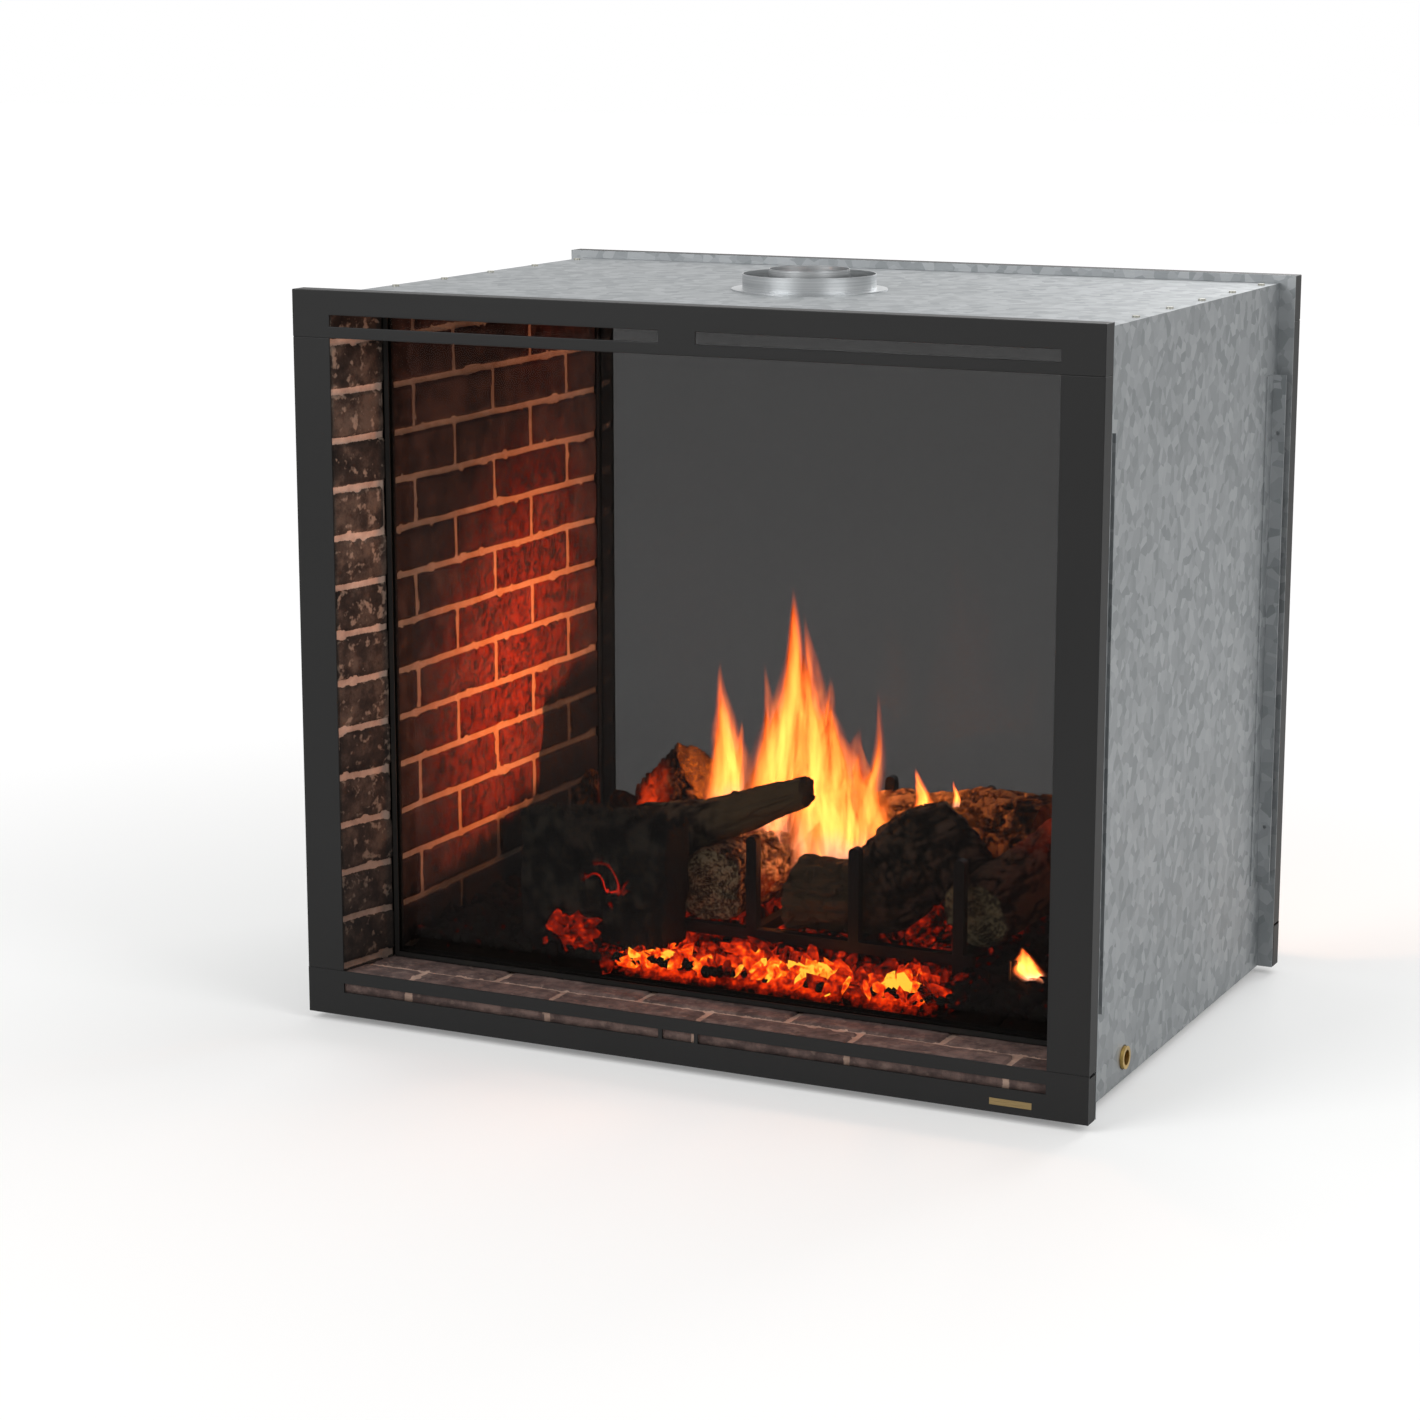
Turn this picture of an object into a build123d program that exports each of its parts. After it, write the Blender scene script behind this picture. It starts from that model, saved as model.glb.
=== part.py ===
from build123d import *
import math
import os

os.makedirs("parts", exist_ok=True)

# Origin: centre of the footprint at floor level. X runs along the width and the front faces -Y.
# Front and rear are the same, so the rear pieces mirror the front ones.

# Face frame
frame_width = 1046.0
frame_height = 915.0
overall_depth = 750.0
foot_height = 10.0
stile_width = 52.0
header_band_height = 30.0
header_slot_height = 14.0
header_rail_height = 14.0
slot_bridge_width = 48.0
sill_band_height = 30.0
sill_slot_height = 12.0
sill_rail_height = 16.0
sill_web_width = 5.0
sill_web_offset = 24.0
trim_sheet = 2.0
trim_depth = 25.0
badge_width = 52.0
badge_height = 8.0
badge_thickness = 1.2
badge_inset = 43.0
badge_rise = 9.0
badge_fit = 0.2

# Sill panel hinge
sill_fold_depth = 22.0
sill_fold_drop = 3.0
sill_hem_depth = 6.0
sill_hem_end_gap = 14.0
sill_pivot_setback = 8.0
sill_pivot_rise = 6.0
sill_pin_radius = 2.5
sill_pin_length = 8.0
sill_ear_radius = 5.5
sill_ear_gap = 3.0

# Casing
sheet = 1.5
side_overlap = 20.0
top_overlap = 10.0
top_flange_width = 24.0
ceiling_drop = 25.0
pan_lip = 14.0
foot_radius = 30.0
foot_inset = 90.0
screw_count = 6
screw_shank_radius = 2.0
screw_shank_length = 6.0
screw_head_radius = 4.5
screw_head_height = 2.2
screw_inset = 12.0
screw_clearance = 0.25
nailing_width = 18.0
nailing_leg = 28.0
nailing_setback = 45.0
nailing_bottom = 130.0
nailing_height = 670.0
nailing_hole_radius = 2.5
nailing_hole_spacing = 520.0
nailing_hole_inset = 9.0

# Vent
flue_radius = 50.8
air_radius = 84.0
collar_wall = 1.0
collar_rim = 14.0
air_collar_rise = 20.0
flue_collar_rise = 26.0
restrictor_width = 124.0
restrictor_length = 190.0
restrictor_stow = 54.0
restrictor_travel = 60.0
restrictor_rail_width = 10.0
restrictor_rail_spare = 20.0
restrictor_gap = 0.2
restrictor_tab = 12.0

# Firebox and brickwork
floor_level = 65.0
hearth_level = 67.0
hearth_brick_height = 31.0
hearth_end_gap = 8.0
wall_gap = 28.0
brick_panel_thickness = 28.0
wall_flange_reach = 31.0
floor_lip_rise = 14.0
ceiling_lip_drop = 12.0
brick_course = 60.6
brick_module = 200.0
hearth_joint_x = 10.0
hearth_row_depth = 52.0
joint_width = 9.0
joint_depth = 3.0
return_thickness = 20.0
brick_gap = 1.5

# Glass doors
glass_setback = 94.0
glass_inset = 22.0
glass_frame_thickness = 9.0
glass_rail = 6.0
glass_thickness = 5.0
glass_grip = 4.0
glass_fit = 0.2
glass_lift = 1.5
glass_side_gap = 2.0
glass_top_gap = 3.0
glass_pivot_drop = 5.0
glass_pin_radius = 2.5
glass_pin_length = 9.0
glass_ear_radius = 4.5
glass_ear_gap = 2.5
ear_thickness = 3.0
pin_clearance = 0.05
gasket_width = 5.0
gasket_thickness = 4.1
gasket_gap = 0.2
gasket_inset = 0.5

# Burner
tray_side_gap = 65.5
tray_front_gap = 57.2
tray_height = 18.0
port_radius = 2.0
port_count = 14
port_row_offset = 95.0
ember_height = 12.0
ember_end_gap = 62.0
rock_height = 11.0
rock_gap = 3.0
tube_radius = 11.0
tube_wall = 1.5
gas_level = 38.0
burner_inlet_lead = 150.0
tube_length = 140.0
tube_gap = 0.25
shutter_wall = 1.5
shutter_length = 24.0
shutter_inset = 16.0
window_width = 8.0
window_length = 12.0
window_count = 3
pilot_inset = 35.0
pilot_front_gap = 65.0
pilot_base_length = 44.0
pilot_base_width = 20.0
pilot_spacing = 14.0
pilot_hood_radius = 5.0
pilot_hood_height = 42.0
thermopile_radius = 4.0
thermopile_height = 36.0
electrode_radius = 1.5
electrode_height = 46.0

# Grate
grate_bar = 14.0
grate_level = 130.0
grate_front_gap = 50.0
grate_left_gap = 104.0
grate_right_gap = 100.0
grate_bar_count = 5
grate_overhang = 18.0
front_post_top = 249.0
rear_post_top = 262.0
rear_post_shift = 48.0
leg_clearance = 0.6

# Gas controls, under the firebox at the right of the front
control_level = 23.0
control_inset = 233.0
control_pitch = 50.0
knob_radius = 10.0
knob_length = 13.0
knob_gap = 2.0
grip_width = 4.0
grip_depth = 3.0
shaft_radius = 3.0
shaft_entry = 12.0
bracket_setback = 40.0
bracket_side = 30.0
bracket_height = 22.0
bracket_foot = 24.0
valve_length = 110.0
valve_depth = 90.0
valve_height = 46.0
valve_setback = 32.2
valve_overhang = 20.0
regulator_radius = 22.0
regulator_height = 5.0
button_radius = 6.0
button_length = 6.0
button_travel = 4.0
button_stop = 1.0
barrel_radius = 8.0
barrel_length = 46.0
supply_radius = 6.0
feed_radius = 4.0
feed_bend_radius = 30.0
shutoff_radius = 14.0
shutoff_length = 82.0
shutoff_reach = 4.0
shutoff_clearance = 1.0
inlet_radius = 9.3
inlet_depth = 20.0
lever_length = 21.0
lever_width = 9.0
lever_thickness = 2.5
lever_boss_radius = 6.5
lever_stem_radius = 3.0
lever_stem_length = 5.0
lever_stem_entry = 5.0

# Logs
log_gap = 0.3
seat_start = 30.0
seat_steps = 12

# Each log's radius as a share of the space for logs, which the grate's pitch and depth limit
slab_radius_share = 0.209
branch_radius_share = 0.216
cross_radius_share = 0.338
front_right_radius_share = 0.374
back_right_radius_share = 0.504
bark_radius_share = 0.309
split_radius_share = 0.439
wedge_radius_share = 0.245
log_depth_share = 0.8424

# A log's stations: x in grate pitches from the middle bar, y in grate half depths,
# height over its seat in radii of the log, and the local radius as a share of the log's own
slab_share = ((-2.17, -1.2, 2.93, 1.0), (-1.38, -1.2, 2.9, 1.0), (-0.63, -1.2, 2.84, 0.98))
branch_share = (
    (-1.45, -0.6, 3.07, 1.2),
    (-0.92, -0.6, 3.53, 1.15),
    (-0.4, -0.61, 4.4, 0.84),
    (0.345, -0.64, 5.87, 0.55),
)
cross_share = ((-0.46, -0.994, 0.93, 0.98), (-0.41, -0.12, 0.96, 1.02), (-0.34, 0.89, 0.93, 0.98))
front_right_share = (
    (0.345, -0.764, 0.79, 0.827),
    (0.986, -0.655, 0.9, 1.0),
    (1.353, -0.497, 1.731, 1.058),
    (1.734, -0.364, 2.442, 0.904),
)
back_right_share = ((0.23, 0.461, 0.857, 0.936), (1.137, 0.509, 0.943, 1.0), (2.144, 0.533, 1.014, 1.071))
bark_share = ((2.043, -0.788, 0.91, 1.012), (2.302, -0.291, 1.6, 1.023), (2.662, 0.376, 2.67, 0.953))
split_share = ((-2.446, 0.739, 0.64, 0.82), (-2.0, 0.642, 0.5, 0.984), (-1.353, 0.509, 2.06, 0.984))
wedge_share = ((-2.43, 0.1, 0.0, 1.09), (-2.41, 0.11, 2.77, 0.9), (-2.33, 0.12, 4.76, 0.27))

# Log outlines: each corner's distance from the middle as a share of the local radius
round_outline_share = (0.97, 1.0, 0.94, 0.99, 0.95, 1.0, 0.96, 0.98, 0.93, 1.0, 0.95, 0.99)
charred_outline_share = (0.99, 0.9, 0.96, 1.0, 0.88, 0.97, 1.0, 0.92, 0.99, 0.95, 0.89, 0.98)
split_outline_share = (0.68, 0.74, 0.98, 0.72, 0.66, 0.98, 0.66, 0.66, 0.97)
slab_outline_share = (1.3, 1.24, 1.31, 1.27)
slab_height_share = 3.25

# One overrun serves every cut
overrun = 5.0

# Places worked out from the sizes above
half_frame = frame_width / 2
face_y = overall_depth / 2
z_bottom = foot_height
z_top = foot_height + frame_height
z_sill_top = z_bottom + sill_band_height + sill_slot_height + sill_rail_height
z_header_bottom = z_top - header_band_height - header_slot_height - header_rail_height
opening_half = half_frame - stile_width
trim_back_y = face_y - trim_depth
casing_half = half_frame - side_overlap
z_casing_top = z_top - top_overlap
z_ceiling = z_top - ceiling_drop
z_pan_top = z_bottom + sheet
brick_front_y = face_y - trim_sheet - brick_gap
glass_y = face_y - glass_setback
glass_front_y = glass_y + glass_frame_thickness / 2
glass_back_y = glass_y - glass_frame_thickness / 2
lip_y = glass_back_y - gasket_gap - gasket_thickness
wall_half_width = casing_half - wall_gap
hearth_half_width = casing_half - hearth_end_gap
brick_half = wall_half_width - sheet - brick_panel_thickness
glass_frame_half_width = opening_half - glass_inset
tray_half_length = brick_half - tray_side_gap
tray_half_depth = lip_y - tray_front_gap
ember_right_end = tray_half_length - ember_end_gap
pilot_x = tray_half_length - pilot_inset
pilot_y = pilot_front_gap - tray_half_depth
grate_left_x = grate_left_gap - tray_half_length
grate_right_x = tray_half_length - grate_right_gap
grate_pitch = (grate_right_x - grate_left_x) / (grate_bar_count - 1)
grate_half_depth = tray_half_depth - grate_front_gap
log_space = min(grate_pitch, grate_half_depth * log_depth_share)
z_glass_bottom = hearth_level + glass_lift
z_glass_top = z_ceiling - glass_top_gap
z_glass_pivot = z_glass_top - glass_pivot_drop
sill_pivot_y = face_y - sill_pivot_setback
sill_pivot_z = z_bottom + sill_pivot_rise
z_tray_top = floor_level + tray_height
z_embers = z_tray_top + ember_height
z_shelf = hearth_level - hearth_brick_height
badge_x0 = opening_half - badge_inset - badge_width / 2
control_x = casing_half - control_inset
valve_x0 = control_x - valve_overhang
valve_front_y = valve_setback - lip_y
burner_inlet_x = valve_x0 - burner_inlet_lead
shutoff_y = valve_front_y + valve_depth / 2


def block(x0, x1, y0, y1, z0, z1):
    """A square-cornered solid between two opposite corners."""
    return Pos((x0 + x1) / 2, (y0 + y1) / 2, (z0 + z1) / 2) * Box(x1 - x0, y1 - y0, z1 - z0)


def rod_x(x0, x1, y, z, radius):
    """A round bar along X."""
    return Pos((x0 + x1) / 2, y, z) * Rot(0, 90, 0) * Cylinder(radius, x1 - x0)


def rod_y(x, y0, y1, z, radius):
    """A round bar along Y."""
    return Pos(x, (y0 + y1) / 2, z) * Rot(90, 0, 0) * Cylinder(radius, y1 - y0)


def rod_z(x, y, z0, z1, radius):
    """An upright round bar."""
    return Pos(x, y, (z0 + z1) / 2) * Cylinder(radius, z1 - z0)


def to_rear(shape):
    """The same piece on the rear side."""
    return mirror(shape, about=Plane.XZ)


def to_left(shape):
    """The same piece on the left side."""
    return mirror(shape, about=Plane.YZ)


def save(name, *solids):
    """Writes one node, which may hold several separate solids."""
    shape = solids[0] if len(solids) == 1 else Compound(children=list(solids))
    export_step(shape, f"parts/{name}.step")


def save_front_rear(name, front):
    """Writes a front piece and its twin at the rear."""
    save(f"front_{name}", front)
    save(f"rear_{name}", to_rear(front))


def brick_face(length, height, thickness, course, module, shift):
    """Bricks in running bond on a mortar slab: length along X, height along Z, face at y = 0 towards -Y."""
    wall = block(0, length, joint_depth, thickness, 0, height)
    bricks = []
    row = 0
    low = 0.0
    while low < height - joint_width:
        high = min(low + course - joint_width, height)
        start = -shift - (row % 2) * module / 2
        while start < length:
            left = max(start, 0)
            right = min(start + module - joint_width, length)
            if right - left > joint_width:
                bricks.append(block(left, right, 0, thickness, low, high))
            start += module
        low += course
        row += 1
    return wall.fuse(*bricks)


def header_trim():
    """Folded header across the full width with its air slot and the thin rail under it."""
    z_slot = z_header_bottom + header_rail_height
    face = block(-half_frame, half_frame, -face_y, trim_sheet - face_y, z_header_bottom, z_top)
    top = block(-half_frame, half_frame, -face_y, -trim_back_y, z_top - trim_sheet, z_top)
    end = block(half_frame - trim_sheet, half_frame, -face_y, -trim_back_y, z_header_bottom, z_top)
    window = block(
        slot_bridge_width / 2,
        opening_half,
        -face_y - overrun,
        trim_sheet + overrun - face_y,
        z_slot,
        z_slot + header_slot_height,
    )
    return face + top + end + to_left(end) - window - to_left(window)


def stile():
    """Folded stile between the header and the sill panel, right side."""
    face = block(opening_half, half_frame, -face_y, trim_sheet - face_y, z_sill_top, z_header_bottom)
    fold = block(half_frame - trim_sheet, half_frame, -face_y, -trim_back_y, z_sill_top, z_header_bottom)
    return face + fold


def sill_panel():
    """Drop-down panel across the full width, with its air slot, folded ends, hem and two pivot pins."""
    z_slot = z_bottom + sill_band_height
    face = block(-half_frame, half_frame, -face_y, trim_sheet - face_y, z_bottom, z_sill_top)
    slot = block(
        -opening_half,
        opening_half,
        -face_y - overrun,
        trim_sheet + overrun - face_y,
        z_slot,
        z_slot + sill_slot_height,
    )
    web = block(
        -sill_web_width / 2,
        sill_web_width / 2,
        -face_y,
        trim_sheet - face_y,
        z_slot - sheet,
        z_slot + sill_slot_height + sheet,
    )
    hem_half = half_frame - sill_hem_end_gap
    hem = block(-hem_half, hem_half, -face_y, sill_hem_depth - face_y, z_bottom, z_bottom + trim_sheet)
    y1 = sill_fold_depth - face_y
    fold = block(half_frame - trim_sheet, half_frame, -face_y, y1, z_bottom, z_sill_top - sill_fold_drop)
    pin_end = half_frame - trim_sheet - sill_pin_length
    pin = rod_x(pin_end, half_frame - trim_sheet, -sill_pivot_y, sill_pivot_z, sill_pin_radius)
    ends = fold + pin
    webs = Pos(-sill_web_offset, 0, 0) * web + Pos(sill_web_offset, 0, 0) * web
    return face - slot + webs + hem + ends + to_left(ends)


def sill_ear():
    """Lug on the casing flange that carries a sill panel pin, right front."""
    x1 = half_frame - trim_sheet - sill_ear_gap
    x0 = x1 - ear_thickness
    eye = rod_x(x0, x1, -sill_pivot_y, sill_pivot_z, sill_ear_radius)
    arm = block(
        x0, x1, -sill_pivot_y, -trim_back_y, sill_pivot_z - sill_ear_radius, sill_pivot_z + sill_ear_radius
    )
    hole = rod_x(x0 - overrun, x1 + overrun, -sill_pivot_y, sill_pivot_z, sill_pin_radius + pin_clearance)
    return eye + arm - hole


def badge_plate():
    """Small blank metal plate on the sill panel."""
    z0 = z_bottom + badge_rise
    return block(badge_x0, badge_x0 + badge_width, -face_y, badge_thickness - face_y, z0, z0 + badge_height)


def base_pan():
    """Bottom pan with low side lips and four pressed feet."""
    floor = block(
        -casing_half + sheet,
        casing_half - sheet,
        -trim_back_y + sheet,
        trim_back_y - sheet,
        z_bottom,
        z_pan_top,
    )
    lip = block(
        casing_half - sheet * 2,
        casing_half - sheet,
        -trim_back_y + sheet,
        trim_back_y - sheet,
        z_bottom,
        z_bottom + pan_lip,
    )
    pan = floor + lip + to_left(lip)
    for sx in (-1, 1):
        for sy in (-1, 1):
            x = sx * (casing_half - foot_inset)
            y = sy * (trim_back_y - foot_inset)
            pan += rod_z(x, y, 0, z_bottom + sheet, foot_radius)
            pan -= rod_z(x, y, sheet, z_pan_top + overrun, foot_radius - sheet)
    return pan


def casing_side():
    """Right casing side: a web with turned-out front and rear flanges and a turned-in top flange."""
    inner = casing_half - sheet
    web = block(inner, casing_half, -trim_back_y, trim_back_y, z_bottom, z_casing_top - sheet)
    flange = block(inner, half_frame, -trim_back_y, sheet - trim_back_y, z_bottom, z_casing_top - sheet)
    top = block(
        inner - top_flange_width,
        inner,
        -trim_back_y + sheet,
        trim_back_y - sheet,
        z_casing_top - sheet * 2,
        z_casing_top - sheet,
    )
    side = web + flange + to_rear(flange) + top
    for x, y in screw_places():
        side -= rod_z(x, y, z_ceiling + sheet, z_casing_top, screw_shank_radius + screw_clearance)
    return side


def screw_places():
    """Screw places along the right edge of the casing top."""
    step = (trim_back_y - foot_inset / 2) * 2 / (screw_count - 1)
    x = casing_half - screw_inset
    return [(x, foot_inset / 2 - trim_back_y + step * i) for i in range(screw_count)]


def casing_top():
    """Top sheet with upturned front and rear edges, the hole for the air collar and its screw holes."""
    top = block(-casing_half, casing_half, -trim_back_y, trim_back_y, z_casing_top - sheet, z_casing_top)
    edge = block(-half_frame, half_frame, -trim_back_y, sheet - trim_back_y, z_casing_top - sheet, z_top)
    top += edge + to_rear(edge)
    top -= rod_z(0, 0, z_casing_top - sheet - overrun, z_casing_top + overrun, air_radius - collar_wall)
    for x, y in screw_places():
        hole = rod_z(
            x,
            y,
            z_casing_top - sheet - overrun,
            z_casing_top + overrun,
            screw_shank_radius + screw_clearance,
        )
        top = top - hole - to_left(hole)
    return top


def casing_screws():
    """Round-head screws along both edges of the casing top."""
    screws = []
    for x, y in screw_places():
        head = rod_z(x, y, z_casing_top, z_casing_top + screw_head_height, screw_head_radius)
        screw = head + rod_z(x, y, z_casing_top - screw_shank_length, z_casing_top, screw_shank_radius)
        screws += [screw, to_left(screw)]
    return screws


def nailing_flange():
    """Angle on the right casing side near the front, with two holes for fixing to a stud."""
    y0 = nailing_setback - face_y
    z1 = nailing_bottom + nailing_height
    plate = block(casing_half, casing_half + nailing_width, y0, y0 + sheet, nailing_bottom, z1)
    leg = block(casing_half, casing_half + sheet, y0, y0 + nailing_leg, nailing_bottom, z1)
    angle = plate + leg
    middle = nailing_bottom + nailing_height / 2
    for side in (-1, 1):
        z = middle + side * nailing_hole_spacing / 2
        angle -= rod_y(
            casing_half + nailing_hole_inset, y0 - overrun, y0 + sheet + overrun, z, nailing_hole_radius
        )
    return angle


def collar(radius, base, rise):
    """Round vent collar with a flat rim at its foot."""
    rim = rod_z(0, 0, base, base + sheet, radius + collar_rim)
    tube = rod_z(0, 0, base, rise, radius)
    return rim + tube - rod_z(0, 0, base - overrun, rise + overrun, radius - collar_wall)


def firebox_floor():
    """Floor sheet with upstanding lips under the glass and a lower shelf for the hearth bricks."""
    reach = casing_half - sheet
    floor = block(-reach, reach, -lip_y, lip_y, floor_level - sheet, floor_level)
    shelf = block(-reach, reach, -brick_front_y, sheet - lip_y, z_shelf - sheet, z_shelf)
    riser = block(-reach, reach, -lip_y, sheet - lip_y, z_shelf - sheet, floor_level)
    lip_half = wall_half_width - wall_flange_reach
    lip = block(-lip_half, lip_half, -lip_y, sheet - lip_y, floor_level, floor_level + floor_lip_rise)
    edge = shelf + riser + lip
    inlet = rod_z(
        burner_inlet_x, 0, floor_level - sheet - overrun, floor_level + overrun, tube_radius + tube_gap
    )
    return floor + edge + to_rear(edge) - inlet


def firebox_wall():
    """Right firebox wall with turned-in front and rear flanges that frame the glass."""
    z0 = floor_level
    web = block(wall_half_width - sheet, wall_half_width, -lip_y, lip_y, z0, z_ceiling)
    flange = block(
        wall_half_width - wall_flange_reach, wall_half_width, -lip_y, sheet - lip_y, z0, z_ceiling
    )
    return web + flange + to_rear(flange)


def firebox_ceiling():
    """Ceiling sheet with lips over the glass, the flue hole and two rails for the restrictor plate."""
    reach = casing_half - sheet
    deep = trim_back_y - sheet
    plate = block(-reach, reach, -deep, deep, z_ceiling, z_ceiling + sheet)
    lip_half = wall_half_width - wall_flange_reach
    lip = block(-lip_half, lip_half, -lip_y, sheet - lip_y, z_ceiling - ceiling_lip_drop, z_ceiling)
    rail_y = restrictor_width / 2 + restrictor_gap
    drop = z_ceiling - restrictor_gap * 2 - sheet
    x0 = restrictor_stow - restrictor_travel - restrictor_rail_spare
    x1 = restrictor_stow + restrictor_length - sheet
    web = block(x0, x1, -rail_y - sheet, -rail_y, drop - sheet, z_ceiling)
    ledge = block(x0, x1, -rail_y - sheet, restrictor_rail_width - rail_y, drop - sheet, drop)
    rail = web + ledge
    ceiling = plate + lip + to_rear(lip) + rail + to_rear(rail)
    return ceiling - rod_z(
        0, 0, z_ceiling - overrun, z_ceiling + sheet + overrun, flue_radius - collar_wall
    )


def restrictor():
    """Sliding plate under the flue, with a turned-down tab to pull it by."""
    z0 = z_ceiling - restrictor_gap - sheet
    x0 = restrictor_stow
    x1 = x0 + restrictor_length
    plate = block(x0, x1, -restrictor_width / 2, restrictor_width / 2, z0, z0 + sheet)
    tab = block(x1 - sheet, x1, -restrictor_tab, restrictor_tab, z0 - restrictor_tab, z0)
    return plate + tab


def brick_panel():
    """Right brick panel between the wall flanges."""
    length = (lip_y - sheet) * 2
    height = z_ceiling - floor_level
    face = brick_face(length, height, brick_panel_thickness, brick_course, brick_module, brick_module / 4)
    return Pos(brick_half, length / 2, floor_level) * Rot(0, 0, -90) * face


def brick_return():
    """Right front brick return that flares from the glass out to the stile."""
    x0 = glass_frame_half_width + glass_side_gap
    y0 = glass_front_y + brick_gap
    run_x = opening_half - x0
    run_y = brick_front_y - y0
    length = math.hypot(run_x, run_y)
    angle = math.degrees(math.atan2(run_x, run_y))
    height = z_ceiling - hearth_level
    face = brick_face(length, height, return_thickness, brick_course, brick_module, brick_module / 2)
    return Pos(x0, -y0, hearth_level) * Rot(0, 0, angle - 90) * face


def hearth_bricks():
    """Two rows of flat bricks outside the front glass, in running bond on a mortar bed."""
    y0 = -brick_front_y
    y1 = -lip_y
    y_joint = y0 + hearth_row_depth
    bed = block(
        -hearth_half_width, hearth_half_width, y0 + joint_depth, y1, z_shelf, hearth_level - joint_depth
    )
    bricks = []
    rows = ((y0, y_joint - joint_width / 2, 0), (y_joint + joint_width / 2, y1, brick_module / 2))
    for row_y0, row_y1, shift in rows:
        left = hearth_joint_x - shift
        while left > -hearth_half_width:
            left -= brick_module
        while left < hearth_half_width:
            x0 = max(left + joint_width / 2, -hearth_half_width)
            x1 = min(left + brick_module - joint_width / 2, hearth_half_width)
            if x1 - x0 > joint_width:
                bricks.append(block(x0, x1, row_y0, row_y1, z_shelf, hearth_level))
            left += brick_module
    return bed.fuse(*bricks)


def glass_frame():
    """Channel frame round the pane with a pivot pin at each top corner."""
    half = glass_frame_half_width
    ring = block(-half, half, -glass_front_y, -glass_back_y, z_glass_bottom, z_glass_top)
    inner = half - glass_rail
    z0 = z_glass_bottom + glass_rail
    z1 = z_glass_top - glass_rail
    ring -= block(-inner, inner, -glass_front_y - overrun, overrun - glass_back_y, z0, z1)
    groove_half = inner + glass_grip + glass_fit
    groove_y = glass_thickness / 2 + glass_fit
    depth = glass_grip + glass_fit
    ring -= block(
        -groove_half, groove_half, -glass_y - groove_y, groove_y - glass_y, z0 - depth, z1 + depth
    )
    pin = rod_x(half, half + glass_pin_length, -glass_y, z_glass_pivot, glass_pin_radius)
    return ring + pin + to_left(pin)


def glass_pane():
    """Flat pane held in the frame's groove."""
    half = glass_frame_half_width - glass_rail + glass_grip
    z0 = z_glass_bottom + glass_rail - glass_grip
    z1 = z_glass_top - glass_rail + glass_grip
    return block(-half, half, -glass_y - glass_thickness / 2, glass_thickness / 2 - glass_y, z0, z1)


def glass_ear():
    """Ear under the ceiling that carries a glass frame pin, right front."""
    x0 = glass_frame_half_width + glass_ear_gap
    x1 = x0 + ear_thickness
    eye = rod_x(x0, x1, -glass_y, z_glass_pivot, glass_ear_radius)
    arm = block(x0, x1, -glass_y - glass_ear_radius, glass_ear_radius - glass_y, z_glass_pivot, z_ceiling)
    hole = rod_x(x0 - overrun, x1 + overrun, -glass_y, z_glass_pivot, glass_pin_radius + pin_clearance)
    return eye + arm - hole


def glass_gasket():
    """Flat rope gasket on the lips behind the front glass frame."""
    half = glass_frame_half_width - gasket_inset
    z0 = z_glass_bottom + gasket_inset
    z1 = z_glass_pivot - glass_side_gap
    y0 = -lip_y - gasket_thickness
    outer = block(-half, half, y0, -lip_y, z0, z1)
    inner = half - gasket_width
    return outer - block(-inner, inner, y0 - overrun, overrun - lip_y, z0 + gasket_width, z1 - gasket_width)


def burner_tray():
    """Hollow steel burner tray with two rows of gas ports and its inlet hole."""
    x = tray_half_length
    y = tray_half_depth
    tray = block(-x, x, -y, y, floor_level, z_tray_top)
    tray -= block(sheet - x, x - sheet, sheet - y, y - sheet, floor_level + sheet, z_tray_top - sheet)
    tray -= rod_z(
        burner_inlet_x, 0, floor_level - overrun, floor_level + sheet + overrun, tube_radius + tube_gap
    )
    step = ember_right_end * 2 / (port_count + 1)
    for i in range(port_count):
        px = -ember_right_end + step * (i + 1)
        for py in (-port_row_offset, port_row_offset):
            tray -= rod_z(px, py, z_tray_top - sheet - overrun, z_tray_top + overrun, port_radius)
    return tray


def ember_bed():
    """Ember bed on the tray and the loose rock fill round it, clear of the grate's legs."""
    embers = block(
        -tray_half_length, ember_right_end, -tray_half_depth, tray_half_depth, z_tray_top, z_embers
    )
    for x, y in grate_legs():
        r = grate_bar / 2 + leg_clearance
        embers -= block(x - r, x + r, y - r, y + r, z_tray_top - overrun, z_embers + overrun)
    half_x = brick_half - rock_gap
    half_y = lip_y - sheet - rock_gap
    rock = block(-half_x, half_x, -half_y, half_y, floor_level, floor_level + rock_height)
    tx = tray_half_length + rock_gap
    ty = tray_half_depth + rock_gap
    rock -= block(-tx, tx, -ty, ty, floor_level - overrun, floor_level + rock_height + overrun)
    return [embers, rock]


def burner_tube():
    """Mixer tube under the floor with air windows, and its riser into the tray."""
    x0 = burner_inlet_x
    x1 = x0 + tube_length
    bore = tube_radius - tube_wall
    tube = rod_x(x0 - tube_radius, x1, 0, gas_level, tube_radius) + rod_z(
        x0, 0, gas_level, floor_level + sheet, tube_radius
    )
    tube -= rod_x(x0 - bore, x1 + overrun, 0, gas_level, bore)
    tube -= rod_z(x0, 0, gas_level, floor_level + sheet + overrun, bore)
    return tube - air_windows(tube_radius + overrun)


def air_windows(reach):
    """Cutter for the air windows, shared by the tube and its shutter."""
    x_mid = burner_inlet_x + tube_length - shutter_inset - shutter_length / 2
    slot = block(-window_length / 2, window_length / 2, -window_width / 2, window_width / 2, 0, reach)
    turn = 360 / window_count
    cutters = [Pos(x_mid, 0, gas_level) * Rot(turn * i, 0, 0) * slot for i in range(window_count)]
    return cutters[0].fuse(*cutters[1:])


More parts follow.
